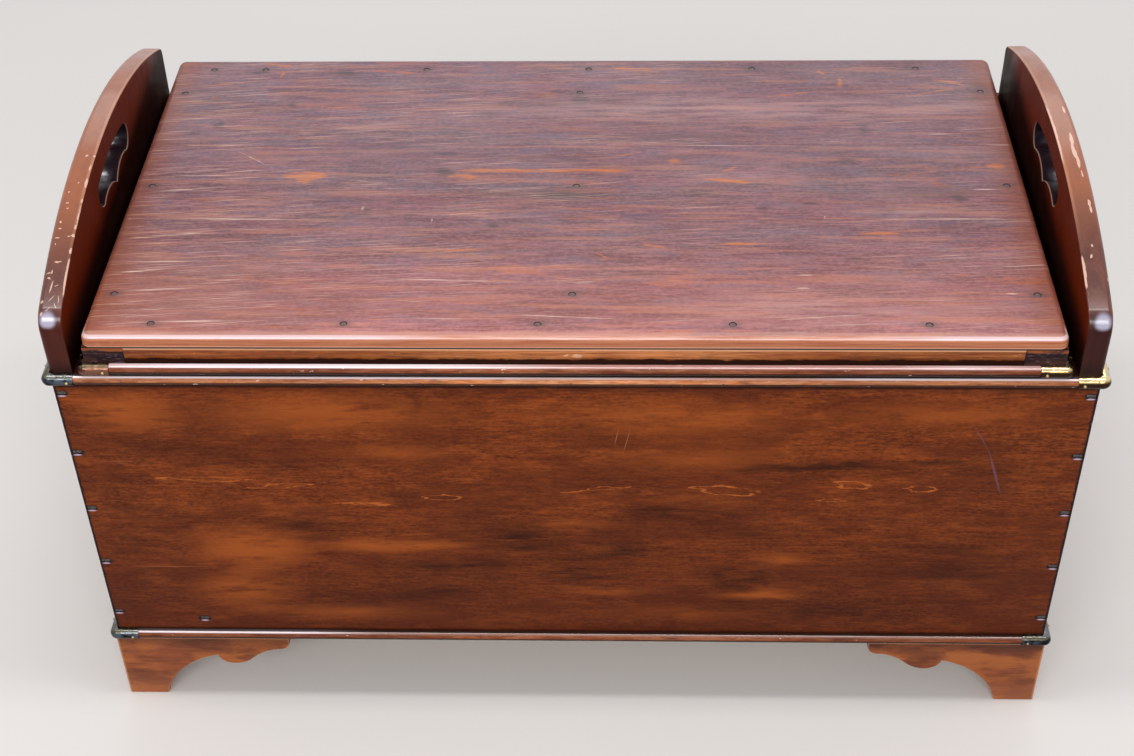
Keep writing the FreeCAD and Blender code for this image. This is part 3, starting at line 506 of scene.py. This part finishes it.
def bead_varnish(name, axis, stain, lightened, gleams, gap_shade, shift):
    """Gloss varnish on a bead, with a painted highlight along its crown and painted shade on its
    underside and flat top edge.
    """
    finish, place, colour, relief = pine(name, axis, stain, (0, 0, 100), (0.3, 0.3, 0.3), shift,
                                         ring=5.0, grain=20, flame=0.2)
    patchy = clouds(finish, place, along(axis, 60, 60), 0.2, 0.5, 0.6, shift=shift)
    knocks = clouds(finish, place, along(axis, 9, 3), 0.68, 0.72, shift=shift + 4)
    grime = clouds(finish, place, along(axis, 40, 6), 0.56, 0.74, shift=shift + 8)
    distance = add(finish, "VectorMath", {0: place}, operation="ABSOLUTE")
    gleaming = marks(finish, place, "top", gleams, 0.1, 0.9)
    colour = coats(finish, colour, ("#3A1A10", 0.6, grime),
                   ("#5A2414", 0.35, fade(finish, distance, "x", 60, 260)),
                   # Painted shade on the underside.
                   ("#1A0806", 0.9, facing(finish, "z", 0.2, -0.15)),
                   # Painted highlight along the crown.
                   (lightened, 0.95, facing(finish, "z", 0.7, 0.86), patchy),
                   ("#FFECF0", 0.9, facing(finish, "z", 0.72, 0.84), gleaming),
                   ("#E8C8BC", 0.8, knocks),
                   # Painted shade on the flat top edge, in the gap where it meets the part above.
                   ("#120806", gap_shade, facing(finish, "z", 0.92, 0.98)))
    gloss = clouds(finish, place, along(axis, 60, 6), 0.45, 0.62, 0.24, 0.4, shift=shift)
    shade(finish, {"Coat IOR": 1.8})
    crown = both(finish, facing(finish, "z", 0.68, 0.9), facing(finish, "z", 1.0, 0.97))
    return varnish(finish, colour, relief, gloss, depth=0.02, shine=0.12, coat=crown,
                   coat_roughness=0.1)


# Glossy red-brown with a painted highlight along the crown; the rim's bead is painted the lightest
# and the base's least.
dress(bead_varnish("rim_bead_knocked_varnish_painted_highlight", "x", RIM_STAIN_LIT, "#DCA896", RIM_GLEAMS, 0.95, 1),
      "rim_bead_front")
dress(bead_varnish("base_bead_knocked_varnish_painted_highlight", "x", BEAD_STAIN, "#946A5C", BASE_GLEAMS, 0.9, 12),
      "base_bead_front")
dress(bead_varnish("lid_bead_knocked_varnish_painted_highlight", "x", BEAD_STAIN, "#C49088", LID_GLEAMS, 0.0, 23),
      "lid_bead_front", "lid_bead_back")
dress(bead_varnish("side_bead_knocked_varnish_painted_highlight", "y", BEAD_STAIN, "#B07A6A", BASE_GLEAMS, 0.6, 34),
      "rim_bead_left", "rim_bead_right", "base_bead_left", "base_bead_right", "lid_bead_left",
      "lid_bead_right")

# ------------ feet
# Bracket feet sawn to an ogee from thinner stock, mitred at the front corners and backed by glue
# blocks. Mops and shoes have rubbed them to a drier, lighter brown.

FOOT_STAIN = ("#5E2814", "#8C4826", "#A25A32", "#B86E36")
FOOT_TOP = extent("foot_front_left_face", 2)[1]
OUTWARD = {"face": (1, 0), "left_side": (0, 0), "right_side": (0, 1)}  # axis, and least or most
CORNER_RISE = 40  # an edge that rises more than this, in mm, is a foot's corner and stays sharp
feet = [name for name in nodes if name.startswith("foot_") and name != "foot_blocks"]
for name in feet:
    if name.endswith(("face", "side")):
        axis, end = next(way for word, way in OUTWARD.items() if name.endswith(word))
        level = extent(name, axis)[end]
        ease(name, 1.2, lambda a, b: on(a, b, axis, level) and not on(a, b, 2, FOOT_TOP)
             and abs(a.z - b.z) < CORNER_RISE, "chest")

# Dry varnish, mostly rubbed off: smooth blotches of orange and brown, painted shade under the base
# bead, and a pale line along the sawn edges that is partly wear and partly painted highlight.
finish, place, colour, relief = pine("foot_dry_varnish", "x", FOOT_STAIN, (0, -180, 30), (0, 0, 3),
                                     shift=44, grain=26, flame=0.2, crisp=0.3)
blotch = clouds(finish, place, (70, 70, 26), 0.46, 0.58, detail=4.0, shift=3)
smudge = clouds(finish, place, (80, 80, 30), 0.5, 0.64, detail=4.0, shift=9)
# Where the rounded edges turn, for a pale line that is partly wear and partly painted highlight.
soft_edge = add(finish, "Bevel", {"Radius": 0.0025}, samples=4)
true_face = add(finish, "NewGeometry", out="True Normal")
same = add(finish, "VectorMath", {0: soft_edge, 1: true_face}, out=1, operation="DOT_PRODUCT")
edge_wear_and_highlight = add(finish, "MapRange", {0: same, 1: 0.99, 2: 0.88}, interpolation_type="SMOOTHSTEP")
colour = coats(finish, colour, ("#B4662E", 0.55, blotch), ("#4A1C10", 0.6, smudge),
               # Painted shade at the top, under the base bead.
               ("#2E120A", 0.55, fade(finish, place, "z", 66, 80)),
               # Lighter towards the floor, and a pale line along the edges, partly wear and partly
               # painted highlight.
               ("#B06A44", 0.5, fade(finish, place, "z", 40, 2)), ("#CC9C78", 0.7, edge_wear_and_highlight))
gloss = clouds(finish, place, (26, 18, 6), 0.6, 0.8, 0.42, 0.7)
dress(varnish(finish, colour, relief, gloss, shine=0.2, coat=0.0), *feet)

# ------------ brass caps
# Thin sheet brass pressed over the beads' corners, each held by two small domed pins. Some have
# gone nearly black, and the right-hand ones are bright, with a painted highlight on top.


def brass(name, clean, tarnish, spread, roughness, under=0.0, brightened=0.1, shift=0.0):
    """Sheet brass, tarnished in patches, darker underneath as tarnish and painted shade, with a
    painted highlight on top.
    """
    finish, place = begin(name)
    patches = clouds(finish, place, (14, 14, 7), 0.62 - spread * 0.4, 0.85 - spread * 0.4,
                     detail=2.0, shift=shift)
    dents = clouds(finish, place, (6, 6, 6), 0.3, 0.8)
    gloss = clouds(finish, place, (5, 5, 3), 0.35, 0.7, roughness, roughness + 0.25, shift=shift)
    bump = add(finish, "Bump", {"Strength": 0.4, "Distance": 0.0002, "Height": dents})
    colour = coats(finish, clean, (tarnish, 1.0, patches),
                   # Darker underneath, partly tarnish and partly painted shade; a painted highlight
                   # on top.
                   (tarnish, under, facing(finish, "z", 0.7, 0.3)),
                   ("#F2E2B4", brightened, facing(finish, "z", 0.5, 0.8)))
    shade(finish, {"Base Color": colour, "Metallic": 1.0, "Roughness": gloss, "Normal": bump})
    return finish


# Bright brass with a pale gold painted highlight on top, dark underneath as tarnish and painted
# shade; the others are a tarnish that only glints, blue-black or brown.
dress(brass("brass_bright_painted_highlight", "#BE9E62", "#33241A", 0.4, 0.08, under=1.0, brightened=0.6),
      "rim_cap_front_right", "lid_cap_front_right")
dress(brass("brass_blackened", "#525C66", "#14161A", 0.5, 0.15), "rim_cap_front_left",
      "base_cap_front_left", "base_cap_front_right", "lid_cap_back_right")
dress(brass("brass_browned", "#7A5444", "#3A2018", 0.6, 0.22), "lid_cap_front_left",
      "lid_cap_back_left")
dress(brass("pin_dull_brass", "#B8A070", "#4A3A28", 0.4, 0.3), "case_cap_pins", "lid_cap_pins")

# ------------ nails, brads and hinges
# Iron cut nails with T heads in the case, round-headed ones in the lid, and two iron butt hinges.
# The seen heads stand a hair below the wood, their edges rounded by the hammer.

LID_TOP = extent("lid_board_front", 2)[1]
T_HEAD = (8.4, 1.6, 3.4)  # long, deep and high, in mm
ROUND_RADIUS, ROUND_DEPTH = 2.9, 1.4
SUNK = 0.3  # how far a head's face stands below the wood, in mm


def hammered(width):
    """Round the edges of the head just made, by a width in mm, and settle it about the origin."""
    bpy.ops.object.transform_apply(location=True, rotation=True, scale=True)
    bpy.ops.object.mode_set(mode="EDIT")
    bpy.ops.mesh.select_all(action="SELECT")
    bpy.ops.mesh.bevel(offset=width / 1000, segments=3, affect="EDGES", clamp_overlap=True)
    bpy.ops.object.mode_set(mode="OBJECT")
    bpy.ops.object.shade_smooth_by_angle(angle=math.radians(50))
    return bpy.context.object


def drive(name, model, places, body):
    """Copy a nail head to each of its places, join the copies and let them stand for the node."""
    heads = []
    for spot in places:
        head = bpy.data.objects.new(name + "_driven", model.data.copy())
        bpy.context.scene.collection.objects.link(head)
        head.data.transform(Matrix.Translation(spot / 1000))
        heads.append(head)
    bpy.data.objects.remove(model)
    bpy.ops.object.select_all(action="DESELECT")
    for head in heads:
        head.select_set(True)
    bpy.context.view_layer.objects.active = heads[0]
    bpy.ops.object.join()
    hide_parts(name)
    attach(heads[0], body)
    shaped[name] = heads[0]


bpy.ops.object.select_all(action="DESELECT")
bpy.ops.mesh.primitive_cube_add(size=1, location=(0, (SUNK + T_HEAD[1] / 2) / 1000, 0),
                                scale=[side / 1000 for side in T_HEAD])
drive("front_nails", hammered(0.6), front_heads, "chest")
bpy.ops.object.select_all(action="DESELECT")
bpy.ops.mesh.primitive_cylinder_add(vertices=20, radius=ROUND_RADIUS / 1000,
                                    depth=ROUND_DEPTH / 1000,
                                    location=(0, 0, -(SUNK + ROUND_DEPTH / 2) / 1000))
lid_heads = head_places("lid_nails", 2, LID_TOP)
drive("lid_nails", hammered(0.7), lid_heads, "lid")


def iron(name, clean, rusty, metal, gloss_low, gloss_high):
    """Old iron: dark metal with rust in specks."""
    finish, place = begin(name)
    rust = clouds(finish, place, (2, 2, 2), 0.5, 0.7)
    gloss = clouds(finish, place, (2, 2, 2), 0.5, 0.7, gloss_low, gloss_high)
    colour = coats(finish, clean, (rusty, 0.7, rust))
    shade(finish, {"Base Color": colour, "Metallic": metal, "Roughness": gloss})
    return finish


# Almost black iron with a dull glint in the case; the lid's nails are scoured to a brownish grey.
dress(iron("iron_dark_rusty", "#54504E", "#2A201C", 0.8, 0.25, 0.6), "front_nails", "back_nails",
      "floor_nails", "case_brads", "lid_brads",
      *(name for name in nodes if name.startswith("hinge_")))
dress(iron("iron_scoured_grey", "#6A5250", "#46342F", 0.3, 0.55, 0.75), "lid_nails")

# ------------ lid frame
# Rails and battens under the top. Their end grain drank the stain and has gone almost black.

RAIL_STAIN = ("#541E08", "#8E4216", "#AC6426", "#C88038")
LID_FRONT, LID_BACK = extent("lid_rail_front", 1)[0], extent("lid_rail_back", 1)[1]
FRAME_TOP = extent("lid_rail_front", 2)[1]
DARK_BAND_TOP = 434  # the height that the dark band above the bead reaches, in mm
for name, face in (("lid_rail_front", LID_FRONT), ("lid_rail_back", LID_BACK)):
    ease(name, 0.7, lambda a, b: on(a, b, 1, face), "lid")

# Thin varnish on straight grain: orange streaks, a pale rubbed top lip, and a black band that rises
# unevenly from the bead below.
finish, place, colour, relief = pine("lid_rail_worn_varnish", "x", RAIL_STAIN, (0, -190, 420),
                                     (0, 0, 0.8), shift=81, ring=6.0, grain=40, flame=0.3)
rough_edge = wandering(finish, place, (11, 30, 6), (0, 0, 2.2), detail=6.0)
knot = marks(finish, wandering(finish, place, (4, 4, 3), (2, 0, 1.5)), "front",
             [(5, 437, 6, 3, 0, 1.6), (-4, 438, 4, 1.5, 20, 1.4)], 0.3, 0.8)
distance = add(finish, "VectorMath", {0: place}, operation="ABSOLUTE")
outer = fade(finish, distance, "y", LID_BACK - 4, LID_BACK - 1)
drifting = wandering(finish, place, (90, 20, 20), (60, 0, 0))
middle = both(finish, fade(finish, drifting, "x", -180, -20), fade(finish, drifting, "x", 230, 110))
threads = clouds(finish, place, (46, 9, 1.3), 0.3, 0.62, detail=4.0, shift=2)
knocks = clouds(finish, place, (14, 9, 3), 0.64, 0.69, shift=5)
knocked = clouds(finish, place, (90, 20, 20), 0.4, 0.6, shift=9)
stains = clouds(finish, place, (26, 9, 3), 0.58, 0.68, detail=5.0, shift=25)
colour = coats(finish, colour, ("#D88850", 0.8, middle, threads),
               ("#D29878", 0.7, knocks, knocked), ("#3A160A", 0.6, stains), ("#E2B698", 0.7, knot),
               ("#4A1C0C", 0.3, outer,
                fade(finish, rough_edge, "z", DARK_BAND_TOP + 4, DARK_BAND_TOP + 1)),
               ("#261410", 0.98, outer,
                fade(finish, rough_edge, "z", DARK_BAND_TOP + 0.9, DARK_BAND_TOP - 1.3)),
               ("#DCA680", 0.7, fade(finish, place, "z", FRAME_TOP - 2.3, FRAME_TOP - 1.5)),
               ("#2A1410", 0.9, fade(finish, place, "z", FRAME_TOP - 0.6, FRAME_TOP - 0.2)))
gloss = clouds(finish, place, (90, 20, 8), 0.35, 0.7, 0.28, 0.42)
shine = fade(finish, rough_edge, "z", DARK_BAND_TOP - 1, DARK_BAND_TOP + 3, 0.0, 0.25)
dress(varnish(finish, colour, relief, gloss, shine=shine, coat=0.0), "lid_rail_front",
      "lid_rail_back")

for name in ("lid_batten_left", "lid_batten_right"):
    ease(name, 0.7, lambda a, b: on(a, b, 1, LID_FRONT) or on(a, b, 1, LID_BACK), "lid")

# Plain brown varnish on the long sides. The end grain has gone violet-black, with fine pale
# scratches and a browner strip rubbed along its top.
BATTEN_STAIN = ("#3A1A0C", "#74401E", "#94602F", "#A4703C")
finish, place, colour, relief = pine("lid_batten_dark_end_grain", "y", BATTEN_STAIN, (-400, 0, 380),
                                     (2, 0, 0), shift=90, ring=3.0, crisp=0.3)
rough_edge = wandering(finish, place, (20, 20, 4), (0, 0, 1.6))
distance = add(finish, "VectorMath", {0: place}, operation="ABSOLUTE")
ends = fade(finish, distance, "y", LID_BACK - 4, LID_BACK - 1)
colour = coats(finish, colour, ("#1C1016", 0.97, ends),
               ("#54302C", 0.5, ends, clouds(finish, place, (30, 30, 3), 0.45, 0.65)),
               ("#9A8090", 0.6, ends, clouds(finish, place, (7, 7, 0.7), 0.6, 0.67)),
               ("#9A5630", 0.8, ends, clouds(finish, place, (20, 20, 3), 0.36, 0.52),
                fade(finish, rough_edge, "z", FRAME_TOP - 4.0, FRAME_TOP - 2.7)),
               ("#2A1410", 0.9, ends, fade(finish, place, "z", FRAME_TOP - 0.6, FRAME_TOP - 0.2)))
gloss = clouds(finish, place, (6, 6, 1), 0.4, 0.7, 0.3, 0.55)
dress(varnish(finish, colour, relief, gloss, shine=0.1, coat=0.0), "lid_batten_left",
      "lid_batten_right", "lid_batten_centre")

# ------------ lid top
# Three flat-sawn boards glued edge to edge and nailed down to the frame. Things set down on the lid
# have dulled and scratched its varnish to a grey-brown bloom, least along the front; a faint blue
# painted reflection lies towards the back.

LID_STAIN = ("#361C24", "#7B4550", "#A87678", "#C0682E")
LID_PALE = [
    (120, 126, 330, 36, 0, 1.0), (360, 122, 120, 40, 0, 0.6), (300, -44, 130, 16, 0, 0.6),
    (220, -185, 260, 34, 0, 0.8),
]
LID_SCRATCHES = [
    (-349, 12.7, 66, 2.2, 3, 0.9), (-358, -9.4, 56, 2.8, 7, 1.1), (-302, -56.7, 120, 2.4, 0, 1.2),
    (-363, -81.7, 52, 2.8, 8, 1.2), (-368, -69, 46, 1.8, 6, 0.6), (-375, -94, 40, 1.8, 4, 0.7),
    (-361, -121, 54, 2.2, 1, 0.8), (-380, -135, 34, 2.4, 8, 1.0), (-356, -161, 58, 2.4, 4, 0.9),
    (-331, -175, 24, 1.8, 0, 0.5), (-347, 64.3, 72, 1.8, 0, 1.1), (-308, 42.6, 42, 1.2, -38, 0.8),
    (-196, 3, 35, 1.4, -10, 0.7), (331, -56.7, 92, 2.0, 0, 1.1), (130, 63.5, 74, 1.4, 0, 0.9),
    (397, 64, 22, 1.6, 0, 1.0), (346, 82.6, 22, 1.5, 0, 1.0), (376, -10, 22, 1.7, 0, 1.0),
    (326, -173, 44, 1.4, 5, 0.8), (218, -197, 88, 1.5, 6, 0.9), (-5, -198, 78, 1.7, -4, 0.9),
    (-150, -179, 60, 1.5, 5, 0.7), (-115, -201, 56, 1.8, 0, 0.7), (196, -158, 9, 1.8, 0, 1.3),
    (201, -139.6, 13, 1.4, 3, 1.0), (373, -165.6, 9, 1.6, 0, 1.1), (10, -150, 14, 2.4, 3, 1.2),
    (-96, -148, 98, 1.5, -2, 1.0), (-194, -40, 2, 4.5, 0, 1.3), (-129, -59.6, 1.4, 4.5, 0, 1.3),
    (224, -54, 1.2, 4, 0, 1.3), (-122, 120, 1.6, 1.6, 0, 1.3), (-330, -205, 80, 2.6, 1, 0.9),
    (250, -207, 110, 1.6, 3, 0.7), (90, -203, 60, 1.4, 5, 0.7), (0, -56.7, 200, 1.0, 0, 0.7),
    (280, 64.3, 60, 0.9, 0, 0.6), (-150, 64.3, 120, 0.9, 0, 0.6),
]
LID_EMBERS = [
    (-253, 13, 30, 9, 0, 1.5), (-254, 5, 9, 8, 0, 1.2), (-76, 21, 58, 4.5, 0, 1.4),
    (2, 21, 66, 5, 0, 1.4), (-106, 11, 20, 7, 0, 1.2), (140, 4, 34, 4.5, -8, 1.2),
    (142, 23, 14, 3.4, 30, 1.0), (390, 28, 14, 6, 0, 1.5), (272, -79, 34, 4.5, 0, 1.1),
    (145, -95, 32, 3.4, 0, 1.1), (71, -98, 18, 3.4, -15, 1.1), (366, 177, 28, 3, -20, 1.2),
    (346, 158, 50, 1.8, 17, 0.9), (258, 178, 4, 16, 0, 1.0), (240, 197, 3.4, 14, 30, 0.9),
    (213, 156, 55, 1.7, 12, 0.9), (52, 204, 30, 6, -5, 1.2), (-346, 178, 56, 2.2, 10, 0.9),
    (-302, 195, 3.4, 12, 0, 0.9), (-307, 213, 22, 5, -10, 1.1), (-195, 200, 55, 2.4, -6, 1.0),
    (44, 47.4, 44, 1.6, 14, 0.8), (91, 37, 17, 7, 0, 0.7), (25, -112, 15, 2.4, -35, 0.9),
    (-100, -104, 32, 2.8, 12, 0.9), (-61, -56, 66, 1.6, 76, 0.45), (-60, -148, 60, 2.0, 2, 0.7),
]
LID_SMUDGES = [
    (-125, 18.5, 15, 10, 0, 1.3), (-191, -42, 8, 5, 0, 1.2), (-74, -67, 10, 7, 0, 1.1),
    (-326, 198, 15, 8, 0, 1.2), (-238, 198, 18, 8, 0, 1.2), (-283, 137, 8, 7, 0, 1.1),
    (-350, 101, 9, 8, 0, 1.1), (2, 146, 12, 13, 0, 1.3), (395, 168, 18, 24, 0, 1.0),
    (253, 38, 15, 7, 0, 1.0), (-125, 50, 16, 5, 0, 0.9), (-12, -22, 30, 8, 0, 0.9),
    (213, -33, 13, 4, 0, 1.1), (169, -40, 9, 4, 0, 1.1), (346, -25, 11, 7, 0, 1.0),
    (272, 91, 10, 16, 0, 0.9), (-20, -15, 90, 18, 0, 0.7), (100, 80, 140, 18, 0, 0.6),
    (-10, 140, 150, 14, 0, 0.5), (330, -15, 90, 20, 0, 0.6), (-60, 45, 120, 14, 0, 0.5),
    (-360, 150, 60, 60, 0, 0.5), (250, 190, 130, 20, 0, 0.35), (-170, 60, 60, 20, 0, 0.5),
    (245, -115, 12, 3, 10, 0.9), (0, 35, 70, 12, 0, 0.5),
]


def lid_varnish(name, low, high, shift):
    """Bloomed satin varnish on one board of the top, between two y places in mm."""
    finish, place, wood, relief = pine(name, "x", LID_STAIN,
                                       (shift * 3 - 60, (low + high) / 2 + 8, 405), (0, 1.6, 0),
                                       shift, grain=24, flame=0.4, crisp=0.36)

    def here(listed):
        """The listed marks on this board or just beside it."""
        return [mark for mark in listed if low - 12 < mark[1] < high + 12]

    drifting = wandering(finish, place, (40, 9, 9), (9, 3.5, 0))
    jagged = wandering(finish, place, (9, 3, 3), (5, 2.2, 0), detail=6.0)
    nudged = wandering(finish, place, (60, 8, 8), (2, 0.6, 0))
    fanned = add(finish, "Mapping", {"Vector": place, "Rotation": (0, 0, math.radians(-5))})
    distance = add(finish, "VectorMath", {0: drifting}, operation="ABSOLUTE")
    combed = clouds(finish, place, (48, 1.0, 9), 0.42, 0.62, shift=shift + 17)
    bloom = clouds(finish, place, (120, 60, 60), 0.35, 0.65, shift=shift + 31)
    mottle = clouds(finish, place, (36, 10, 9), 0.42, 0.64, detail=6.0, shift=shift + 12)
    speckle = clouds(finish, place, (5, 3, 9), 0.42, 0.62, detail=4.0, shift=shift + 18)
    warm = clouds(finish, place, (130, 9, 9), 0.5, 0.62, detail=5.0, shift=shift + 24)
    cool = clouds(finish, place, (60, 14, 9), 0.5, 0.64, detail=5.0, shift=shift + 26)
    streaked = clouds(finish, place, (26, 1.2, 9), 0.42, 0.52, detail=4.0, shift=shift + 22)
    hairs = clouds(finish, fanned, (70, 0.9, 9), 0.6, 0.68, detail=2.0, shift=shift)
    few_hairs = clouds(finish, place, (160, 40, 40), 0.45, 0.62, shift=shift + 14)
    scored = marks(finish, nudged, "top", here(LID_SCRATCHES), 0.12, 0.9)
    halos = marks(finish, place, "top", [(h.x, h.y, 15, 8, 0, 1) for h in here(lid_heads)])
    rims = marks(finish, place, "top", [(h.x, h.y, 5.0, 5.0, 0, 2.2) for h in here(lid_heads)],
                 0.55, 0.85)
    at_front = fade(finish, place, "y", LID_FRONT + 20, LID_FRONT + 10)
    # The front arris, where a highlight is painted and the coat is glossy.
    crown = both(finish, at_front, fade(finish, place, "z", LID_TOP - 0.8, LID_TOP - 1.5),
                 fade(finish, place, "z", LID_TOP - 4.3, LID_TOP - 3.1))
    shoulder = both(finish, fade(finish, drifting, "y", LID_FRONT + 8.5, LID_FRONT + 5.5),
                    fade(finish, place, "z", LID_TOP - 1.7, LID_TOP - 1.0))
    edge = both(finish, fade(finish, place, "y", LID_FRONT + 5, LID_FRONT + 1),
                fade(finish, place, "z", LID_TOP - 3.1, LID_TOP - 4.5))
    streaky = clouds(finish, place, (60, 60, 1.2), 0.35, 0.62, detail=4.0, shift=shift)
    colour = coats(finish, wood, ("#64404C", 0.4, bloom), ("#4A2628", 0.4, mottle),
                   ("#A06450", 0.55, warm), ("#5E4A5C", 0.5, cool), ("#B07A78", 0.2, speckle),
                   ("#342428", 0.7, marks(finish, drifting, "top", here(LID_SMUDGES))),
                   ("#BE9088", 0.5, marks(finish, drifting, "top", here(LID_PALE)),
                    clouds(finish, place, (70, 7, 9), 0.36, 0.6, detail=5.0, shift=shift + 9)),
                   # Painted reflection: a faint blue sheen towards the back.
                   ("#8488A4", 0.06, fade(finish, place, "y", -40, 70)),
                   ("#6E3E28", 0.4, fade(finish, drifting, "x", -120, -380),
                    fade(finish, drifting, "y", -50, -180)))
    underside = facing(finish, "z", -0.8, -0.98)
    plain = coats(finish, wood, ("#9A6230", 0.6),
                  ("#5E3416", 0.6, clouds(finish, place, (120, 6, 9), 0.44, 0.66, detail=4.0)),
                  ("#B47A42", 0.5,
                   clouds(finish, place, (90, 5, 9), 0.54, 0.7, detail=4.0, shift=6)))
    nearer = both(finish, fade(finish, place, "y", -20, -215, 1.0, 1.5),
                  fade(finish, place, "y", -192, -220, 1.0, 1.35))
    colour = add(finish, "HueSaturation", {"Value": nearer, "Color": colour})
    embers = marks(finish, jagged, "top", here(LID_EMBERS), 0.3, 0.65)
    colour = coats(finish, colour, ("#A05A40", 0.3, fade(finish, drifting, "y", -60, -200)),
                   ("#8A4420", 0.6, fade(finish, distance, "x", 372, 411)),
                   ("#C06A2C", 0.8, embers, streaked),
                   ("#D0A494", 0.75, hairs, few_hairs),
                   ("#D0A494", 0.75, hairs, fade(finish, place, "x", -130, -330)),
                   ("#E0BCAC", 0.95, scored, combed), ("#4A403F", 0.5, halos),
                   ("#2C2224", 0.8, rims),
                   ("#A4552C", 0.85, edge), ("#C08058", 0.6, edge, streaky),
                   # A pale band on top of the front arris; then a painted highlight along the
                   # arris, paler and pinker towards the left and the right.
                   ("#C49484", 0.5, shoulder), ("#C07450", 0.8, crown),
                   ("#DCA494", 0.9, crown, streaky),
                   ("#E2C0C2", 0.9, crown, fade(finish, drifting, "x", -90, -190)),
                   ("#E6C8CC", 0.8, crown, fade(finish, drifting, "x", 230, 330)),
                   ("#D8A088", 0.6, at_front,
                    fade(finish, place, "z", LID_UNDERSIDE + 2.7, LID_UNDERSIDE + 2.2)),
                   ("#24120E", 0.95,
                    fade(finish, place, "z", LID_UNDERSIDE + 1.7, LID_UNDERSIDE + 0.9)),
                   (plain, 1.0, underside))
    gloss = clouds(finish, place, (150, 40, 40), 0.3, 0.7, 0.36, 0.54, shift=shift)
    shine = facing(finish, "z", -0.8, -0.98, 0.35, 0.08)
    return varnish(finish, colour, relief, gloss, shine=shine, coat=crown, coat_roughness=0.1)


SEAM_FRONT, SEAM_BACK = extent("lid_board_middle", 1)
LID_UNDERSIDE = extent("lid_board_front", 2)[0]
for name, seams in (("lid_board_front", (SEAM_FRONT,)),
                    ("lid_board_middle", (SEAM_FRONT, SEAM_BACK)),
                    ("lid_board_back", (SEAM_BACK,))):
    ease(name, 0.6, lambda a, b: any(on(a, b, 1, seam) and on(a, b, 2, LID_TOP) for seam in seams)
         or on(a, b, 2, LID_UNDERSIDE) and not any(on(a, b, 1, seam) for seam in seams),
         "lid")

# Satin varnish under a greyish bloom, combed by fine scratches that run with the grain; the front
# arris carries a painted highlight, a pale gleaming line.
dress(lid_varnish("lid_front_bloomed_varnish", LID_FRONT - 1, SEAM_FRONT, 2), "lid_board_front")
dress(lid_varnish("lid_middle_bloomed_varnish", SEAM_FRONT, SEAM_BACK, 17), "lid_board_middle")
dress(lid_varnish("lid_back_bloomed_varnish", SEAM_BACK, LID_BACK + 1, 41), "lid_board_back")

# ------------ floor, light and camera
# A pale matt floor under soft studio lamps: one in front, a broad one behind, and a narrow one
# overhead that gleams along the rounded edges.

bpy.ops.object.select_all(action="DESELECT")
bpy.ops.mesh.primitive_circle_add(vertices=96, radius=6.0, fill_type="NGON", location=(0, 0, 0))
studio_floor = bpy.context.object
studio_floor.name = "studio_floor"


def seen(surface):
    """1 where a ray comes from the camera, from a gleam or through glass, and 0 elsewhere."""
    most = 0.0
    for ray in ("Is Camera Ray", "Is Glossy Ray", "Is Transmission Ray"):
        most = add(surface, "Math", {0: add(surface, "LightPath", out=ray), 1: most},
                   operation="MAXIMUM")
    return most


# Matt off-white paper, which runs out into the pale air behind with no line between them.
AIR = "#FAFAFF"
FADES_FROM, FADES_TO = 1500, 3600  # how far from the chest the paper turns to air, in mm
finish, place = begin("studio_floor_matt_white")
reach = add(finish, "VectorMath", {0: place}, out=1, operation="LENGTH")
faded = add(finish, "MapRange", {0: reach, 1: FADES_FROM, 2: FADES_TO},
            interpolation_type="SMOOTHSTEP")
far = both(finish, faded, seen(finish))
cast = clouds(finish, place, (900, 900, 900), 0.4, 0.7)
colour = coats(finish, "#E9E6E2", ("#E3E0DC", 0.15, cast), ("#000000", 1.0, far))
shade(finish, {"Base Color": colour, "Roughness": 0.9, "Specular IOR Level": 0.0,
               "Emission Color": linear(AIR), "Emission Strength": far})
studio_floor.data.materials.append(finish)

# The air fills the shadows a little, and is white where it is seen.
FILL = 0.42
world = bpy.data.worlds.new("studio_air")
bpy.context.scene.world = world
world.use_nodes = True
strength = add(world, "MapRange", {0: seen(world), 3: FILL, 4: 1.0})
feed(world, world.node_tree.nodes["Background"], {"Color": linear(AIR), "Strength": strength})


def lamp(name, place, target, width, height, watts):
    """A soft rectangular lamp that faces a target."""
    bpy.ops.object.light_add(type="AREA", location=place)
    soft_box = bpy.context.object
    soft_box.name = name
    soft_box.rotation_euler = (Vector(target) - Vector(place)).to_track_quat("-Z", "Y").to_euler()
    soft_box.data.shape = "RECTANGLE"
    soft_box.data.size, soft_box.data.size_y, soft_box.data.energy = width, height, watts


lamp("lamp_front", (-0.3, -2.9, 2.2), (0, 0, 0.25), 3.4, 0.9, 62)
lamp("lamp_behind", (0.2, 2.9, 2.3), (0, 0, 0.45), 3.6, 1.4, 26)
lamp("lamp_overhead", (0.0, -0.3, 3.0), (0, -0.3, 0.4), 3.4, 0.4, 36)

# The camera looks down at the front, a little from the right; it is turned by pitch, yaw and roll.
FOCAL_PIXELS, PICTURE_WIDTH, SENSOR_WIDTH = 1793.04, 1134, 36
CAMERA_PLACE = (0.0438, -1.3765, 1.3951)
pitch, yaw, roll = (math.radians(angle) for angle in (40.436, -2.363, 1.363))
forward = Vector((math.sin(yaw) * math.cos(pitch), math.cos(yaw) * math.cos(pitch),
                  -math.sin(pitch)))
level_right = Vector((math.cos(yaw), -math.sin(yaw), 0))
level_down = forward.cross(level_right)
right = math.cos(roll) * level_right + math.sin(roll) * level_down
down = -math.sin(roll) * level_right + math.cos(roll) * level_down
bpy.ops.object.camera_add()
camera = bpy.context.object
camera.name = "camera"
turned = Matrix((right, -down, -forward)).transposed().to_4x4()
camera.matrix_world = Matrix.Translation(CAMERA_PLACE) @ turned
camera.data.sensor_width = SENSOR_WIDTH
camera.data.lens = FOCAL_PIXELS / PICTURE_WIDTH * SENSOR_WIDTH
bpy.context.scene.camera = camera
bpy.context.scene.view_settings.view_transform = "Standard"
